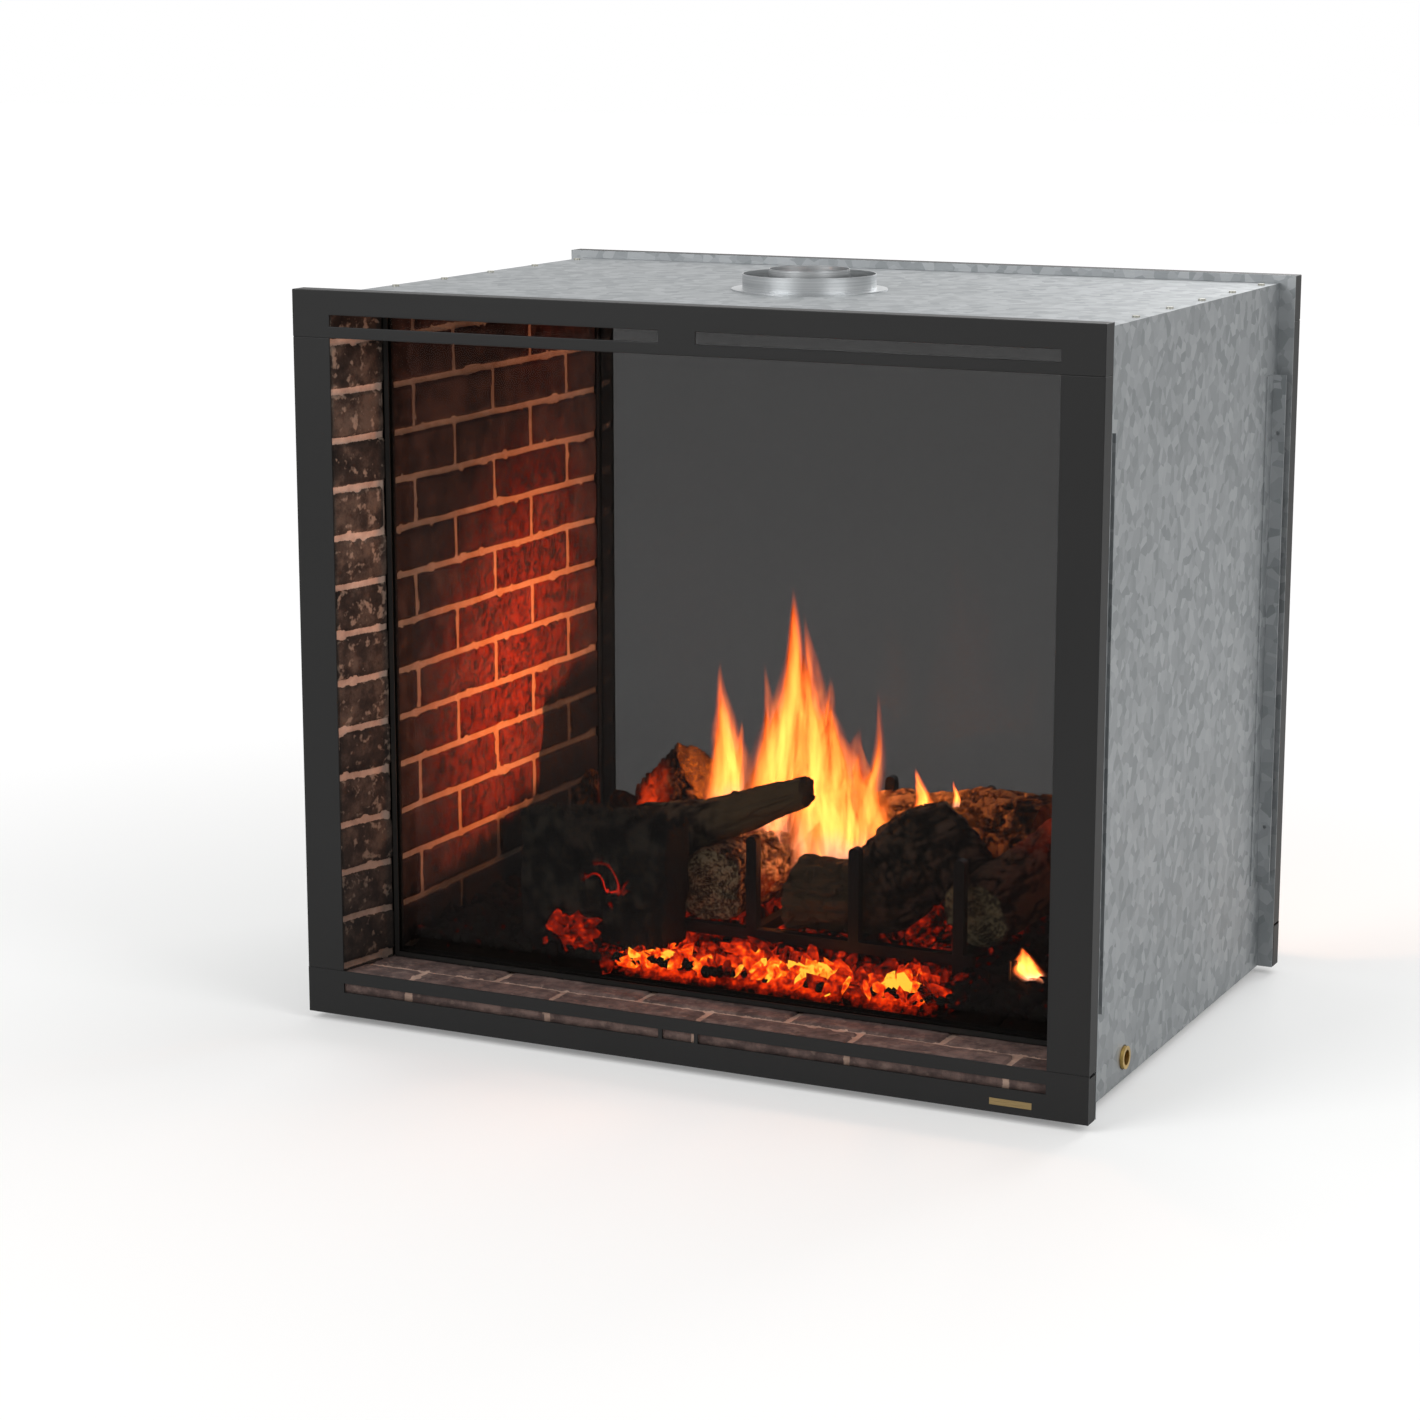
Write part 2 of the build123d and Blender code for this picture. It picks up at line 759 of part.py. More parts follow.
def air_shutter():
    """Turning sleeve on the mixer tube with matching windows."""
    x1 = burner_inlet_x + tube_length - shutter_inset
    outer = rod_x(x1 - shutter_length, x1, 0, gas_level, tube_radius + pin_clearance + shutter_wall)
    bore = rod_x(x1 - shutter_length - overrun, x1 + overrun, 0, gas_level, tube_radius + pin_clearance)
    return outer - bore - air_windows(tube_radius + overrun)


def pilot_assembly():
    """Pilot hood, thermopile and spark electrode on one small foot on the tray."""
    z0 = z_tray_top
    half = pilot_base_length / 2
    foot = block(
        pilot_x - pilot_base_width / 2,
        pilot_x + pilot_base_width / 2,
        pilot_y - half,
        pilot_y + half,
        z0,
        z0 + sheet,
    )
    hood = rod_z(pilot_x, pilot_y, z0, z0 + pilot_hood_height, pilot_hood_radius)
    pile = rod_z(pilot_x, pilot_y + pilot_spacing, z0, z0 + thermopile_height, thermopile_radius)
    spark = rod_z(pilot_x, pilot_y - pilot_spacing, z0, z0 + electrode_height, electrode_radius)
    return foot + hood + pile + spark


def grate_legs():
    """Places of the four grate legs."""
    return [(x, y) for x in (grate_left_x, grate_right_x) for y in (-grate_half_depth, grate_half_depth)]


def grate_post(x, y, top):
    """Square upright with a rounded top."""
    r = grate_bar / 2
    shaft = block(x - r, x + r, y - r, y + r, grate_level - grate_bar, top - r)
    return shaft + rod_y(x, y - r, y + r, top - r, r)


def log_grate():
    """Cast grate: two cross bars, bars front to back, front and rear uprights and four legs."""
    r = grate_bar / 2
    z0 = grate_level - grate_bar
    cross = block(
        grate_left_x - grate_overhang,
        grate_right_x + grate_overhang,
        -grate_half_depth - r,
        r - grate_half_depth,
        z0,
        grate_level,
    )
    grate = cross + to_rear(cross)
    for i in range(grate_bar_count):
        x = grate_left_x + grate_pitch * i
        grate += block(x - r, x + r, -grate_half_depth, grate_half_depth, z0, grate_level)
        grate += grate_post(x, -grate_half_depth, front_post_top)
    for i in range(grate_bar_count - 1):
        x = grate_left_x + rear_post_shift + grate_pitch * i
        grate += grate_post(x, grate_half_depth, rear_post_top)
    for x, y in grate_legs():
        grate += block(x - r, x + r, y - r, y + r, z_tray_top, grate_level)
    return grate


def log(stations, radius_share, outline, seat, tall=1.0):
    """A log lofted through irregular sections square to its run, with its underside flat where it rests.

    tall stretches the sections upwards.
    """
    radius = log_space * radius_share
    middle_x = (grate_left_x + grate_right_x) / 2
    places = []
    for x, y, z, size in stations:
        places.append(Vector(middle_x + grate_pitch * x, grate_half_depth * y, seat + radius * z))
    faces = []
    for i, place in enumerate(places):
        run = places[min(i + 1, len(places) - 1)] - places[max(i - 1, 0)]
        upright = abs(run.Z) > abs(run.X) + abs(run.Y)
        across = Vector(0, 1, 0).cross(run) if upright else Vector(0, 0, 1).cross(run)
        turn = math.tau / len(outline)
        corners = []
        for k, part in enumerate(outline):
            reach = radius * stations[i][3] * part
            angle = turn * k + turn / 2
            corners.append((reach * math.cos(angle), reach * math.sin(angle) * tall))
        plane = Plane(origin=place, x_dir=across, z_dir=run)
        faces.append(plane * make_face(Polyline(*corners, close=True)))
    whole = loft(faces, ruled=True)
    box = whole.bounding_box()
    below = block(
        box.min.X - overrun,
        box.max.X + overrun,
        box.min.Y - overrun,
        box.max.Y + overrun,
        0,
        seat + log_gap,
    )
    return whole - below


def lowered_onto(shape, support):
    """The shape moved straight down in steps until it all but touches what carries it."""
    shape = Pos(0, 0, seat_start) * shape
    for step in range(seat_steps):
        shape = Pos(0, 0, log_gap - shape.distance_to(support)) * shape
    return shape


def front_left_log():
    """Flat-faced charred log standing on the embers against the front uprights."""
    slab = log(slab_share, slab_radius_share, slab_outline_share, z_embers, slab_height_share)
    back = -grate_half_depth - grate_bar / 2 - log_gap
    return Pos(0, back - slab.bounding_box().max.Y, 0) * slab


def gas_valve():
    """Gas valve body with bores for the two control shafts, on the base pan."""
    x0 = valve_x0
    x1 = x0 + valve_length
    y0 = valve_front_y
    z1 = z_pan_top + valve_height
    body = block(x0, x1, y0, y0 + valve_depth, z_pan_top, z1)
    body += rod_z((x0 + x1) / 2, y0 + valve_depth / 2, z1, z1 + regulator_height, regulator_radius)
    for i in range(2):
        x = control_x + control_pitch * i
        body -= rod_y(
            x, y0 - overrun, y0 + shaft_entry + sheet, control_level, shaft_radius + pin_clearance
        )
    return body


def control_bracket():
    """Angle on the base pan that carries the two knobs and the igniter."""
    x0 = control_x - bracket_side
    x1 = control_x + control_pitch * 2 + bracket_side
    y0 = bracket_setback - face_y
    plate = block(x0, x1, y0, y0 + sheet, z_pan_top, z_pan_top + bracket_height)
    foot = block(x0, x1, y0, y0 + bracket_foot, z_pan_top, z_pan_top + sheet)
    bracket = plate + foot
    for i in range(3):
        x = control_x + control_pitch * i
        bracket -= rod_y(x, y0 - overrun, y0 + sheet + overrun, control_level, shaft_radius + pin_clearance)
    return bracket


def knob(x):
    """Control knob with a raised grip bar and its extension shaft into the valve."""
    back = bracket_setback - face_y - knob_gap
    front = back - knob_length
    body = rod_y(x, front, back, control_level, knob_radius)
    bite = knob_radius - grip_width / 2
    for side in (-1, 1):
        middle = x + side * (grip_width / 2 + bite / 2)
        body -= block(
            middle - bite / 2,
            middle + bite / 2,
            front,
            front + grip_depth,
            control_level - knob_radius,
            control_level + knob_radius,
        )
    shaft = rod_y(x, back, valve_front_y + shaft_entry, control_level, shaft_radius)
    return body + shaft


def igniter_barrel():
    """Piezo barrel behind the bracket, bored for the button's stem."""
    x = control_x + control_pitch * 2
    y0 = bracket_setback - face_y + sheet
    barrel = rod_y(x, y0, y0 + barrel_length, control_level, barrel_radius)
    return barrel - rod_y(
        x, y0 - overrun, y0 + barrel_length - barrel_radius, control_level, shaft_radius + pin_clearance
    )


def igniter_button():
    """Push button whose stem slides through the bracket into the barrel."""
    x = control_x + control_pitch * 2
    back = bracket_setback - face_y - button_travel - button_stop
    stem_end = bracket_setback - face_y + sheet + barrel_length / 2
    cap = rod_y(x, back - button_length, back, control_level, button_radius)
    return cap + rod_y(x, back, stem_end, control_level, shaft_radius)


def gas_supply_line():
    """Supply pipe from the shut-off valve to the gas valve, and the feed pipe to the mixer tube."""
    x_valve = valve_x0 + valve_length
    x_shutoff = casing_half + shutoff_reach - shutoff_length
    supply = rod_x(x_valve, x_shutoff, shutoff_y, gas_level, supply_radius)
    x_feed = valve_x0 + valve_length / 2
    x_end = burner_inlet_x + tube_length + tube_wall
    start = (x_feed, valve_front_y + valve_depth, gas_level)
    path = FilletPolyline(start, (x_feed, 0, gas_level), (x_end, 0, gas_level), radius=feed_bend_radius)
    section = Plane(origin=start, z_dir=(0, 1, 0)) * Circle(feed_radius)
    return [supply, sweep(section, path)]


def shutoff_valve():
    """Shut-off valve body through the casing side, with the threaded gas inlet in its outer end."""
    x1 = casing_half + shutoff_reach
    x0 = x1 - shutoff_length
    body = rod_x(x0, x1, shutoff_y, gas_level, shutoff_radius)
    body -= rod_x(x1 - inlet_depth, x1 + overrun, shutoff_y, gas_level, inlet_radius)
    x = x0 + shutoff_length / 3
    face = shutoff_y - shutoff_radius
    return body - rod_y(
        x, face - overrun, face + lever_stem_entry, gas_level, lever_stem_radius + pin_clearance
    )


def shutoff_lever():
    """Quarter-turn lever on the front of the shut-off valve, lying along the pipe when open."""
    x = casing_half + shutoff_reach - shutoff_length + shutoff_length / 3
    face = shutoff_y - shutoff_radius
    y1 = face - lever_stem_length
    boss = rod_y(x, y1 - lever_thickness, y1, gas_level, lever_boss_radius)
    half = lever_width / 2
    arm = block(x - lever_length, x, y1 - lever_thickness, y1, gas_level - half, gas_level + half)
    stem = rod_y(x, y1, face + lever_stem_entry - glass_fit, gas_level, lever_stem_radius)
    return boss + arm + stem


def side_with_gas_hole():
    """Right casing side with the hole for the shut-off valve."""
    hole = rod_x(
        casing_half - sheet - overrun,
        casing_half + overrun,
        shutoff_y,
        gas_level,
        shutoff_radius + shutoff_clearance,
    )
    lip_cut = hole + rod_x(
        casing_half - sheet * 3, casing_half, shutoff_y, gas_level, shutoff_radius + shutoff_clearance
    )
    return casing_side() - lip_cut


def badge_seat():
    """Cutter for the shallow recess that the badge plate sits in."""
    x0 = badge_x0 - badge_fit
    x1 = badge_x0 + badge_width + badge_fit
    z0 = z_bottom + badge_rise - badge_fit
    z1 = z_bottom + badge_rise + badge_height + badge_fit
    return block(x0, x1, -face_y - overrun, badge_thickness - face_y, z0, z1)


def save_face_frames():
    """Header, stiles and sill panels on both sides."""
    save_front_rear("header_trim", header_trim())
    right = stile()
    save_front_rear("right_stile", right)
    save_front_rear("left_stile", to_left(right))
    sill = sill_panel()
    save("front_sill_panel", sill - badge_seat())
    save("rear_sill_panel", to_rear(sill))
    save("badge_plate", badge_plate())
    ear = sill_ear()
    ears = [ear, to_left(ear)]
    save("sill_hinge_ears", *ears, *[to_rear(e) for e in ears])


def save_casing():
    """Casing sheets, nailing flanges, screws and vent collars."""
    pan = base_pan()
    gas_hole = rod_x(
        casing_half - sheet * 2 - overrun,
        casing_half,
        shutoff_y,
        gas_level,
        shutoff_radius + shutoff_clearance,
    )
    save("base_pan", pan - gas_hole)
    save("right_casing_side", side_with_gas_hole())
    save("left_casing_side", to_left(casing_side()))
    save("casing_top", casing_top())
    save("casing_screws", *casing_screws())
    flange = nailing_flange()
    flanges = [flange, to_left(flange)]
    save("nailing_flanges", *flanges, *[to_rear(f) for f in flanges])
    save("outer_vent_collar", collar(air_radius, z_casing_top, z_casing_top + air_collar_rise))
    save("inner_vent_collar", collar(flue_radius, z_ceiling + sheet, z_casing_top + flue_collar_rise))
    save("flue_restrictor", restrictor())


def save_firebox():
    """Firebox sheets and all the brickwork."""
    save("firebox_floor", firebox_floor())
    wall = firebox_wall()
    save("firebox_right_wall", wall)
    save("firebox_left_wall", to_left(wall))
    save("firebox_ceiling", firebox_ceiling())
    panel = brick_panel()
    save("right_brick_panel", panel)
    save("left_brick_panel", to_left(panel))
    corner = brick_return()
    save_front_rear("right_brick_return", corner)
    save_front_rear("left_brick_return", to_left(corner))
    save_front_rear("hearth_bricks", hearth_bricks())


def save_glass():
    """Glass doors, their ears and gaskets."""
    save_front_rear("glass_frame", glass_frame())
    save_front_rear("glass_pane", glass_pane())
    ear = glass_ear()
    ears = [ear, to_left(ear)]
    save("glass_hinge_ears", *ears, *[to_rear(e) for e in ears])
    gasket = glass_gasket()
    save("glass_gaskets", gasket, to_rear(gasket))


def save_burner():
    """Burner, pilot, ember bed, grate and logs."""
    save("burner_tray", burner_tray())
    save("ember_bed", *ember_bed())
    save("burner_tube", burner_tube())
    save("air_shutter", air_shutter())
    save("pilot_assembly", pilot_assembly())
    save("log_grate", log_grate())
    save("front_left_log", front_left_log())
    cross_log = log(cross_share, cross_radius_share, charred_outline_share, grate_level)
    save("cross_log", cross_log)
    branch = log(branch_share, branch_radius_share, round_outline_share, grate_level)
    save("branch_log", lowered_onto(branch, cross_log))
    save("front_right_log", log(front_right_share, front_right_radius_share, charred_outline_share, grate_level))
    save("back_right_log", log(back_right_share, back_right_radius_share, round_outline_share, grate_level))
    save("right_bark_log", log(bark_share, bark_radius_share, round_outline_share, grate_level))
    save("split_log", log(split_share, split_radius_share, split_outline_share, grate_level))
    save("wedge_log", log(wedge_share, wedge_radius_share, split_outline_share, z_embers))


def save_gas_train():
    """Valve, controls, pipes and shut-off."""
    save("gas_valve", gas_valve())
    save("control_bracket", control_bracket())
    save("control_knob", knob(control_x))
    save("flame_knob", knob(control_x + control_pitch))
    save("igniter_barrel", igniter_barrel())
    save("igniter_button", igniter_button())
    save("gas_supply_line", *gas_supply_line())
    save("shutoff_valve", shutoff_valve())
    save("shutoff_lever", shutoff_lever())


save_face_frames()
save_casing()
save_firebox()
save_glass()
save_burner()
save_gas_train()
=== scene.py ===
import bmesh
import bpy
import numpy as np
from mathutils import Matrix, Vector


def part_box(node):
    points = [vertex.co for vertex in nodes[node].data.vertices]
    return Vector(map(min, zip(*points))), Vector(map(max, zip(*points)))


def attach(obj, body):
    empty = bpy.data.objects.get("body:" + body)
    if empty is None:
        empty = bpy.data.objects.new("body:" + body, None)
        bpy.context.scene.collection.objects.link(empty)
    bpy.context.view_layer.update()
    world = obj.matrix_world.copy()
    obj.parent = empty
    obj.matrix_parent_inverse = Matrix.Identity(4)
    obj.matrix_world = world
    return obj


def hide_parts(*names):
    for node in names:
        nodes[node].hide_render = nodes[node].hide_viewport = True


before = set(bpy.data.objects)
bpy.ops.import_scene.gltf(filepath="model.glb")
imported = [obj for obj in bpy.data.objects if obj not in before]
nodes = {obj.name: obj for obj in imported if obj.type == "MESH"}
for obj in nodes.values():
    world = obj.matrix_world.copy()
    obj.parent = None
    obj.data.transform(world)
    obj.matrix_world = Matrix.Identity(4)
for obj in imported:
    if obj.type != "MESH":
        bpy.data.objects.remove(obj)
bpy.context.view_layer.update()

# The fireplace is built from the casing inwards, then its fire, its doors and its face frame.
# It is made in metres, with its feet on z = 0 and its front towards -Y.

# Casing: folded galvanised sheet steel, screwed along the top edges, with nailing flanges at the sides.
# Hot-dip zinc gives flat grey crystals about 14 mm across, each a little lighter or darker.


def paint(code):
    """A colour from its sRGB hex code: each part goes through the sRGB curve to linear light."""
    parts = [int(code[i : i + 2], 16) / 255 for i in (1, 3, 5)]
    return [c / 12.92 if c <= 0.04045 else ((c + 0.055) / 1.055) ** 2.4 for c in parts] + [1.0]


def feed(node, inputs):
    """Sets a node's inputs, each to a value or to an output of another node."""
    for key, value in inputs.items():
        if isinstance(value, bpy.types.NodeSocket):
            node.id_data.links.new(value, node.inputs[key])
        else:
            node.inputs[key].default_value = value


def add(tree, kind, inputs=None, give=None, **settings):
    """One shader node with its own settings. It gives back the output named give, or else its main one."""
    made = tree.nodes.new("ShaderNode" + kind)
    for key, value in settings.items():
        setattr(made, key, value)
    feed(made, inputs or {})
    return made.outputs[give] if give else next(output for output in made.outputs if output.enabled)


def noise(place, **settings):
    """Noise over a place. The settings are its scale, detail, roughness and distortion."""
    named = {key.title(): value for key, value in settings.items()}
    return add(place.id_data, "TexNoise", {"Vector": place, **named})


def ramp(value, stops):
    """Colours along a value, each at its own place from 0 to 1."""
    made = add(value.id_data, "ValToRGB", {"Fac": value})
    marks = made.node.color_ramp.elements
    while len(marks) < len(stops):
        marks.new(0.5)
    for mark, (place, code) in zip(marks, stops):
        mark.position = place
        mark.color = paint(code)
    return made


def span(value, start=0.0, end=1.0, low=0.0, high=1.0, **settings):
    """A value that goes from start to end, moved to go from low to high, and kept within them."""
    inputs = {"Value": value, "From Min": start, "From Max": end, "To Min": low, "To Max": high}
    return add(value.id_data, "MapRange", inputs, **settings)


def finish_named(name):
    """A new material with its node tree, the shader that gives its finish, and the place on the object."""
    material = bpy.data.materials.new(name)
    material.use_nodes = True
    tree = material.node_tree
    return material, tree, tree.nodes["Principled BSDF"], add(tree, "TexCoord", give="Object")


def dress(material, slot, *names):
    """Gives a finish to nodes of the frame that stay as they are, all over."""
    for name in names:
        mesh = nodes[name].data
        mesh.materials.clear()
        mesh.materials.append(material)


spangle_size = 0.014
galvanised_steel, tree, shader, place = finish_named("galvanised_steel")
crystals = add(tree, "TexVoronoi", {"Vector": place, "Scale": 1 / spangle_size}, give="Color")
tone = ramp(crystals, ((0.15, "#7f8385"), (0.85, "#9a9d9f")))
haze = noise(place, scale=9.0, detail=3.0)
rough = span(haze, low=0.42, high=0.6)
feed(shader, {"Base Color": tone, "Roughness": rough, "Metallic": 0.85})
dress(
    galvanised_steel, "galvanised_sheet", "base_pan", "left_casing_side", "right_casing_side",
    "casing_top", "nailing_flanges",
)

# Vent collars: two short spun tubes on the top, the outer for air in and the inner for the flue.
# Spinning leaves fine rings round the tube, so the shine is drawn out round it.


def bump(height, strength, distance):
    """Small relief that only turns the light, from the height of a pattern."""
    return add(height.id_data, "Bump", {"Height": height, "Strength": strength, "Distance": distance})


def plain_finish(name, tones, clouds, roughness, grain=None, metallic=0.0, specular=0.5, stretch=None):
    """A finish with its tones in soft clouds and, where wanted, a fine grain that catches the light.

    clouds and grain hold the settings of their noise, and grain the strength and distance of its relief
    too. roughness is one value, or two that it moves between over the clouds. stretch draws both out.
    """
    material, tree, shader, place = finish_named(name)
    if stretch:
        place = add(tree, "Mapping", {"Vector": place, "Scale": stretch})
    cloud = noise(place, **clouds)
    if isinstance(roughness, tuple):
        roughness = span(cloud, low=roughness[0], high=roughness[1])
    feed(shader, {"Base Color": ramp(cloud, tones), "Roughness": roughness})
    feed(shader, {"Metallic": metallic, "Specular IOR Level": specular})
    if grain:
        height = noise(place, scale=grain["scale"], detail=grain["detail"])
        feed(shader, {"Normal": bump(height, grain["strength"], grain["distance"])})
    return material


ring_spacing = 0.0012
spun_aluminium = plain_finish(
    "spun_aluminium", ((0.3, "#a6a9ab"), (0.7, "#c2c4c5")), {"scale": 1.0, "detail": 2.0}, roughness=0.34,
    metallic=1.0, stretch=(6.0, 6.0, 1 / ring_spacing),
    grain={"scale": 1.0, "detail": 2.0, "strength": 0.25, "distance": 0.0003},
)
dress(spun_aluminium, "vent_metal", "outer_vent_collar", "inner_vent_collar")

# Small steel parts: screws, hinge ears, the control bracket and the igniter's barrel.
# They are pressed or turned and zinc plated, which leaves a bright, slightly yellow grey.
zinc_plate = plain_finish(
    "zinc_plate", ((0.3, "#a9a79b"), (0.7, "#bfbeb6")), {"scale": 120.0, "detail": 2.0}, roughness=0.32,
    metallic=1.0,
)
dress(
    zinc_plate, "zinc_steel", "casing_screws", "sill_hinge_ears", "glass_hinge_ears", "control_bracket",
    "igniter_barrel",
)

# Firebox: sheet steel floor, walls, ceiling and flue plate, under matt black heat paint.
# Soot and heat leave it uneven, from grey black to a faint brown.
heat_paint = plain_finish(
    "heat_paint", ((0.3, "#0d0c0b"), (0.55, "#161412"), (0.8, "#231c16")),
    {"scale": 14.0, "detail": 6.0, "roughness": 0.65}, roughness=0.62, specular=0.2,
    grain={"scale": 900.0, "detail": 2.0, "strength": 0.25, "distance": 0.0004},
)
dress(
    heat_paint, "heat_paint", "firebox_floor", "firebox_left_wall", "firebox_right_wall",
    "firebox_ceiling", "flue_restrictor", "burner_tray",
)

# Brickwork: cast refractory panels with the pattern of modular bricks, laid in running bond with pale joints.
# The faces are pitted and chipped and dark brown with soot; the fire's glow and the logs' shade are painted
# on the inner walls.
hash_steps = np.array([374761393, 668265263, 1103515245])
hash_seed_step = 974711
hash_stir = 1274126177
word = 0xFFFFFFFF
half_word = 0xFFFF
weld_reach = 1e-6


def lattice_noise(points, seed):
    """Noise from -1 to 1: a random value at each whole-number point, blended between by a smooth step."""
    base = np.floor(points).astype(np.int64)
    part = points - base
    part = part * part * (3 - 2 * part)
    total = np.zeros(points.shape[:-1])
    for corner in np.ndindex(2, 2, 2):
        spot = base + corner
        mixed = (spot * hash_steps).sum(axis=-1) + seed * hash_seed_step
        mixed = ((mixed & word) ^ ((mixed & word) >> 13)) * hash_stir & word
        value = 2 * ((mixed ^ (mixed >> 16)) & half_word) / half_word - 1
        share = np.prod(np.where(corner, part, 1 - part), axis=-1)
        total += value * share
    return total


def fractal(points, size, seed, octaves=4):
    """Noise with detail: each octave has half the size and half the strength of the one before."""
    total = 0.0
    for octave in range(octaves):
        total = total + lattice_noise(points * 2**octave / size, seed + octave) / 2**octave
    return total


def smooth(low, high, value):
    """0 below low, 1 above high, and a smooth step between them."""
    part = np.clip((value - low) / (high - low), 0, 1)
    return part * part * (3 - 2 * part)


def mesh_of(name, points, faces, layers):
    """A mesh from points and faces with equally many corners, with one value for each point in each layer."""
    mesh = bpy.data.meshes.new(name)
    mesh.vertices.add(points.size // 3)
    mesh.vertices.foreach_set("co", points.astype(np.float32).ravel())
    mesh.loops.add(faces.size)
    mesh.loops.foreach_set("vertex_index", faces.astype(np.int32).ravel())
    mesh.polygons.add(len(faces))
    mesh.polygons.foreach_set("loop_start", np.arange(0, faces.size, faces.shape[1], dtype=np.int32))
    mesh.update(calc_edges=True)
    for key, values in layers.items():
        data = mesh.attributes.new(key, "FLOAT", "POINT").data
        data.foreach_set("value", np.broadcast_to(values, points.shape[:-1]).astype(np.float32).ravel())
    return mesh


def placed(name, data):
    """A new object of the scene that shows a mesh, or holds a light or camera."""
    made = bpy.data.objects.new(name, data)
    bpy.context.scene.collection.objects.link(made)
    return made


def surface(name, points, around=False, fill=False, layers=None):
    """A smooth piece from a grid of points, with a face between each four neighbours.

    around joins the last column to the first, and fill closes what stays open.
    """
    rows, columns = points.shape[:2]
    index = np.arange(rows * columns).reshape(rows, columns)
    if around:
        index = np.concatenate([index, index[:, :1]], axis=1)
    quads = np.stack([index[:-1, :-1], index[:-1, 1:], index[1:, 1:], index[1:, :-1]], axis=-1)
    mesh = mesh_of(name, points, quads.reshape(-1, 4), layers or {})
    made = bmesh.new()
    made.from_mesh(mesh)
    bmesh.ops.remove_doubles(made, verts=made.verts, dist=weld_reach)
    bmesh.ops.dissolve_degenerate(made, dist=weld_reach / 10, edges=made.edges)
    if fill:
        bmesh.ops.holes_fill(made, edges=[e for e in made.edges if e.is_boundary], sides=0)
    bmesh.ops.recalc_face_normals(made, faces=made.faces)
    for face in made.faces:
        face.smooth = True
    made.to_mesh(mesh)
    made.free()
    return placed(name, mesh)


def belongs(piece, body, slot, material, *replaced):
    """Puts a finished piece on its body, with its finish and the nodes that it stands for."""
    piece.data.materials.append(material)
    if replaced:
        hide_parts(*replaced)
    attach(piece, body)


course = 0.0606
wall_module = 0.203
joint = 0.009
joint_depth = 0.003
mesh_step = 0.0026
chip_size = 0.016
chip_reach = 0.012
chip_cut = 0.004
pit_size = 0.017
pit_depth = 0.0009
skin_size = 0.024
skin_height = 0.0004
course_wander = 0.0013
module_wander = 0.0011
module_wander_size = 0.05
course_wander_size = 0.07
chip_span = (0.35, 0.9)
pit_span = (0.5, 1.0)
worn_edge = (-0.0004, 0.0022)
chip_flattening = 0.35
slice_step = 0.37
tone_step = 7.31


def brick_relief(u, v, seed, module, rows=course, shift=0.0, bed=0.0):
    """Brick faces over mortar, from the place along (u) and up (v) the wall.

    Edge is the distance to the nearest side of a brick, below zero in a joint. The face rises from the
    joint over a worn edge, less chips that noise cuts into it, plus pits. Gives relief, edge and brick tone.
    """
    spot = np.stack([u, v, np.full_like(u, seed * slice_step)], axis=-1)
    wave_u = module_wander * fractal(spot, module_wander_size, seed, 2)
    wave_v = course_wander * fractal(spot, course_wander_size, seed + 5, 2)
    row = np.floor((v + wave_v - bed) / rows)
    up = v + wave_v - bed - row * rows
    run = u + wave_u + shift + np.mod(row, 2) * module / 2
    along = np.mod(run, module)
    column = np.floor(run / module)
    half_u = (module - joint) / 2
    half_v = (rows - joint) / 2
    off_u = np.minimum(np.abs(along - half_u), np.abs(along - half_u - module))
    off_v = np.minimum(np.abs(up - half_v), np.abs(up - half_v - rows))
    edge = np.minimum(half_u - off_u, half_v - off_v)
    name = np.stack([row, column, np.full_like(u, seed)], axis=-1) + 0.5
    tone = lattice_noise(name * tone_step, seed)
    chips = smooth(*chip_span, fractal(spot, chip_size, seed + 11, 3)) * smooth(chip_reach, 0.0, edge)
    pits = smooth(*pit_span, fractal(spot, pit_size, seed + 17, 2))
    worn = edge - chip_cut * chips
    face = smooth(*worn_edge, worn)
    rough = skin_height * fractal(spot, skin_size, seed + 23, 2)
    relief = joint_depth * face * (1 - chip_flattening * chips) - pit_depth * pits * face + rough
    return relief, worn, tone


def brick_panel(name, corner, along, up, out, length, height, thickness, seed, module, **pattern):
    """A panel whose front follows the brick relief, with plain sides and a flat back.

    A point is corner + u along + v up + (relief - joint depth) out. The grid's border folds back by the
    panel's thickness and is filled there.
    """
    columns = int(length / mesh_step)
    lines = int(height / mesh_step)
    u, v = np.meshgrid(np.linspace(0, length, columns), np.linspace(0, height, lines))
    relief, edge, tone = brick_relief(u, v, seed, module, **pattern)
    depth = np.pad(relief - joint_depth, 1, constant_values=-thickness)
    u, v, edge, tone = (np.pad(values, 1, mode="edge") for values in (u, v, edge, tone))
    inset = int(course / 3 / mesh_step)
    edge[0], edge[-1] = edge[inset], edge[-inset]
    edge[:, 0], edge[:, -1] = edge[:, inset], edge[:, -inset]
    corner, along, up, out = (np.array(vector, float) for vector in (corner, along, up, out))
    points = along * u[..., None] + up * v[..., None] + out * depth[..., None] + corner
    return surface(name, points, fill=True, layers={"edge": edge * 1000, "tone": tone})


def layer(tree, name):
    """A value that each point of the mesh holds."""
    return add(tree, "Attribute", give="Fac", attribute_name=name)


def maths(operation, value, *others):
    """One step of arithmetic on an output, with other outputs or numbers."""
    return add(value.id_data, "Math", dict(enumerate((value, *others))), operation=operation)


def scaled(value, by, plus=0.0):
    """An output times by, plus an amount."""
    return maths("MULTIPLY_ADD", value, by, plus)


def mix(share, first, second):
    """The first colour where share is 0, the second where it is 1, and a blend between."""
    return add(share.id_data, "Mix", {0: share, 6: first, 7: second}, data_type="RGBA")


glow_middle = 0.31
glow_lean = 0.26
glow_width = 0.25
glow_below = 0.24
glow_above = 0.42
shade_slope = 0.22
shade_level = 0.20
shade_rise = 0.12


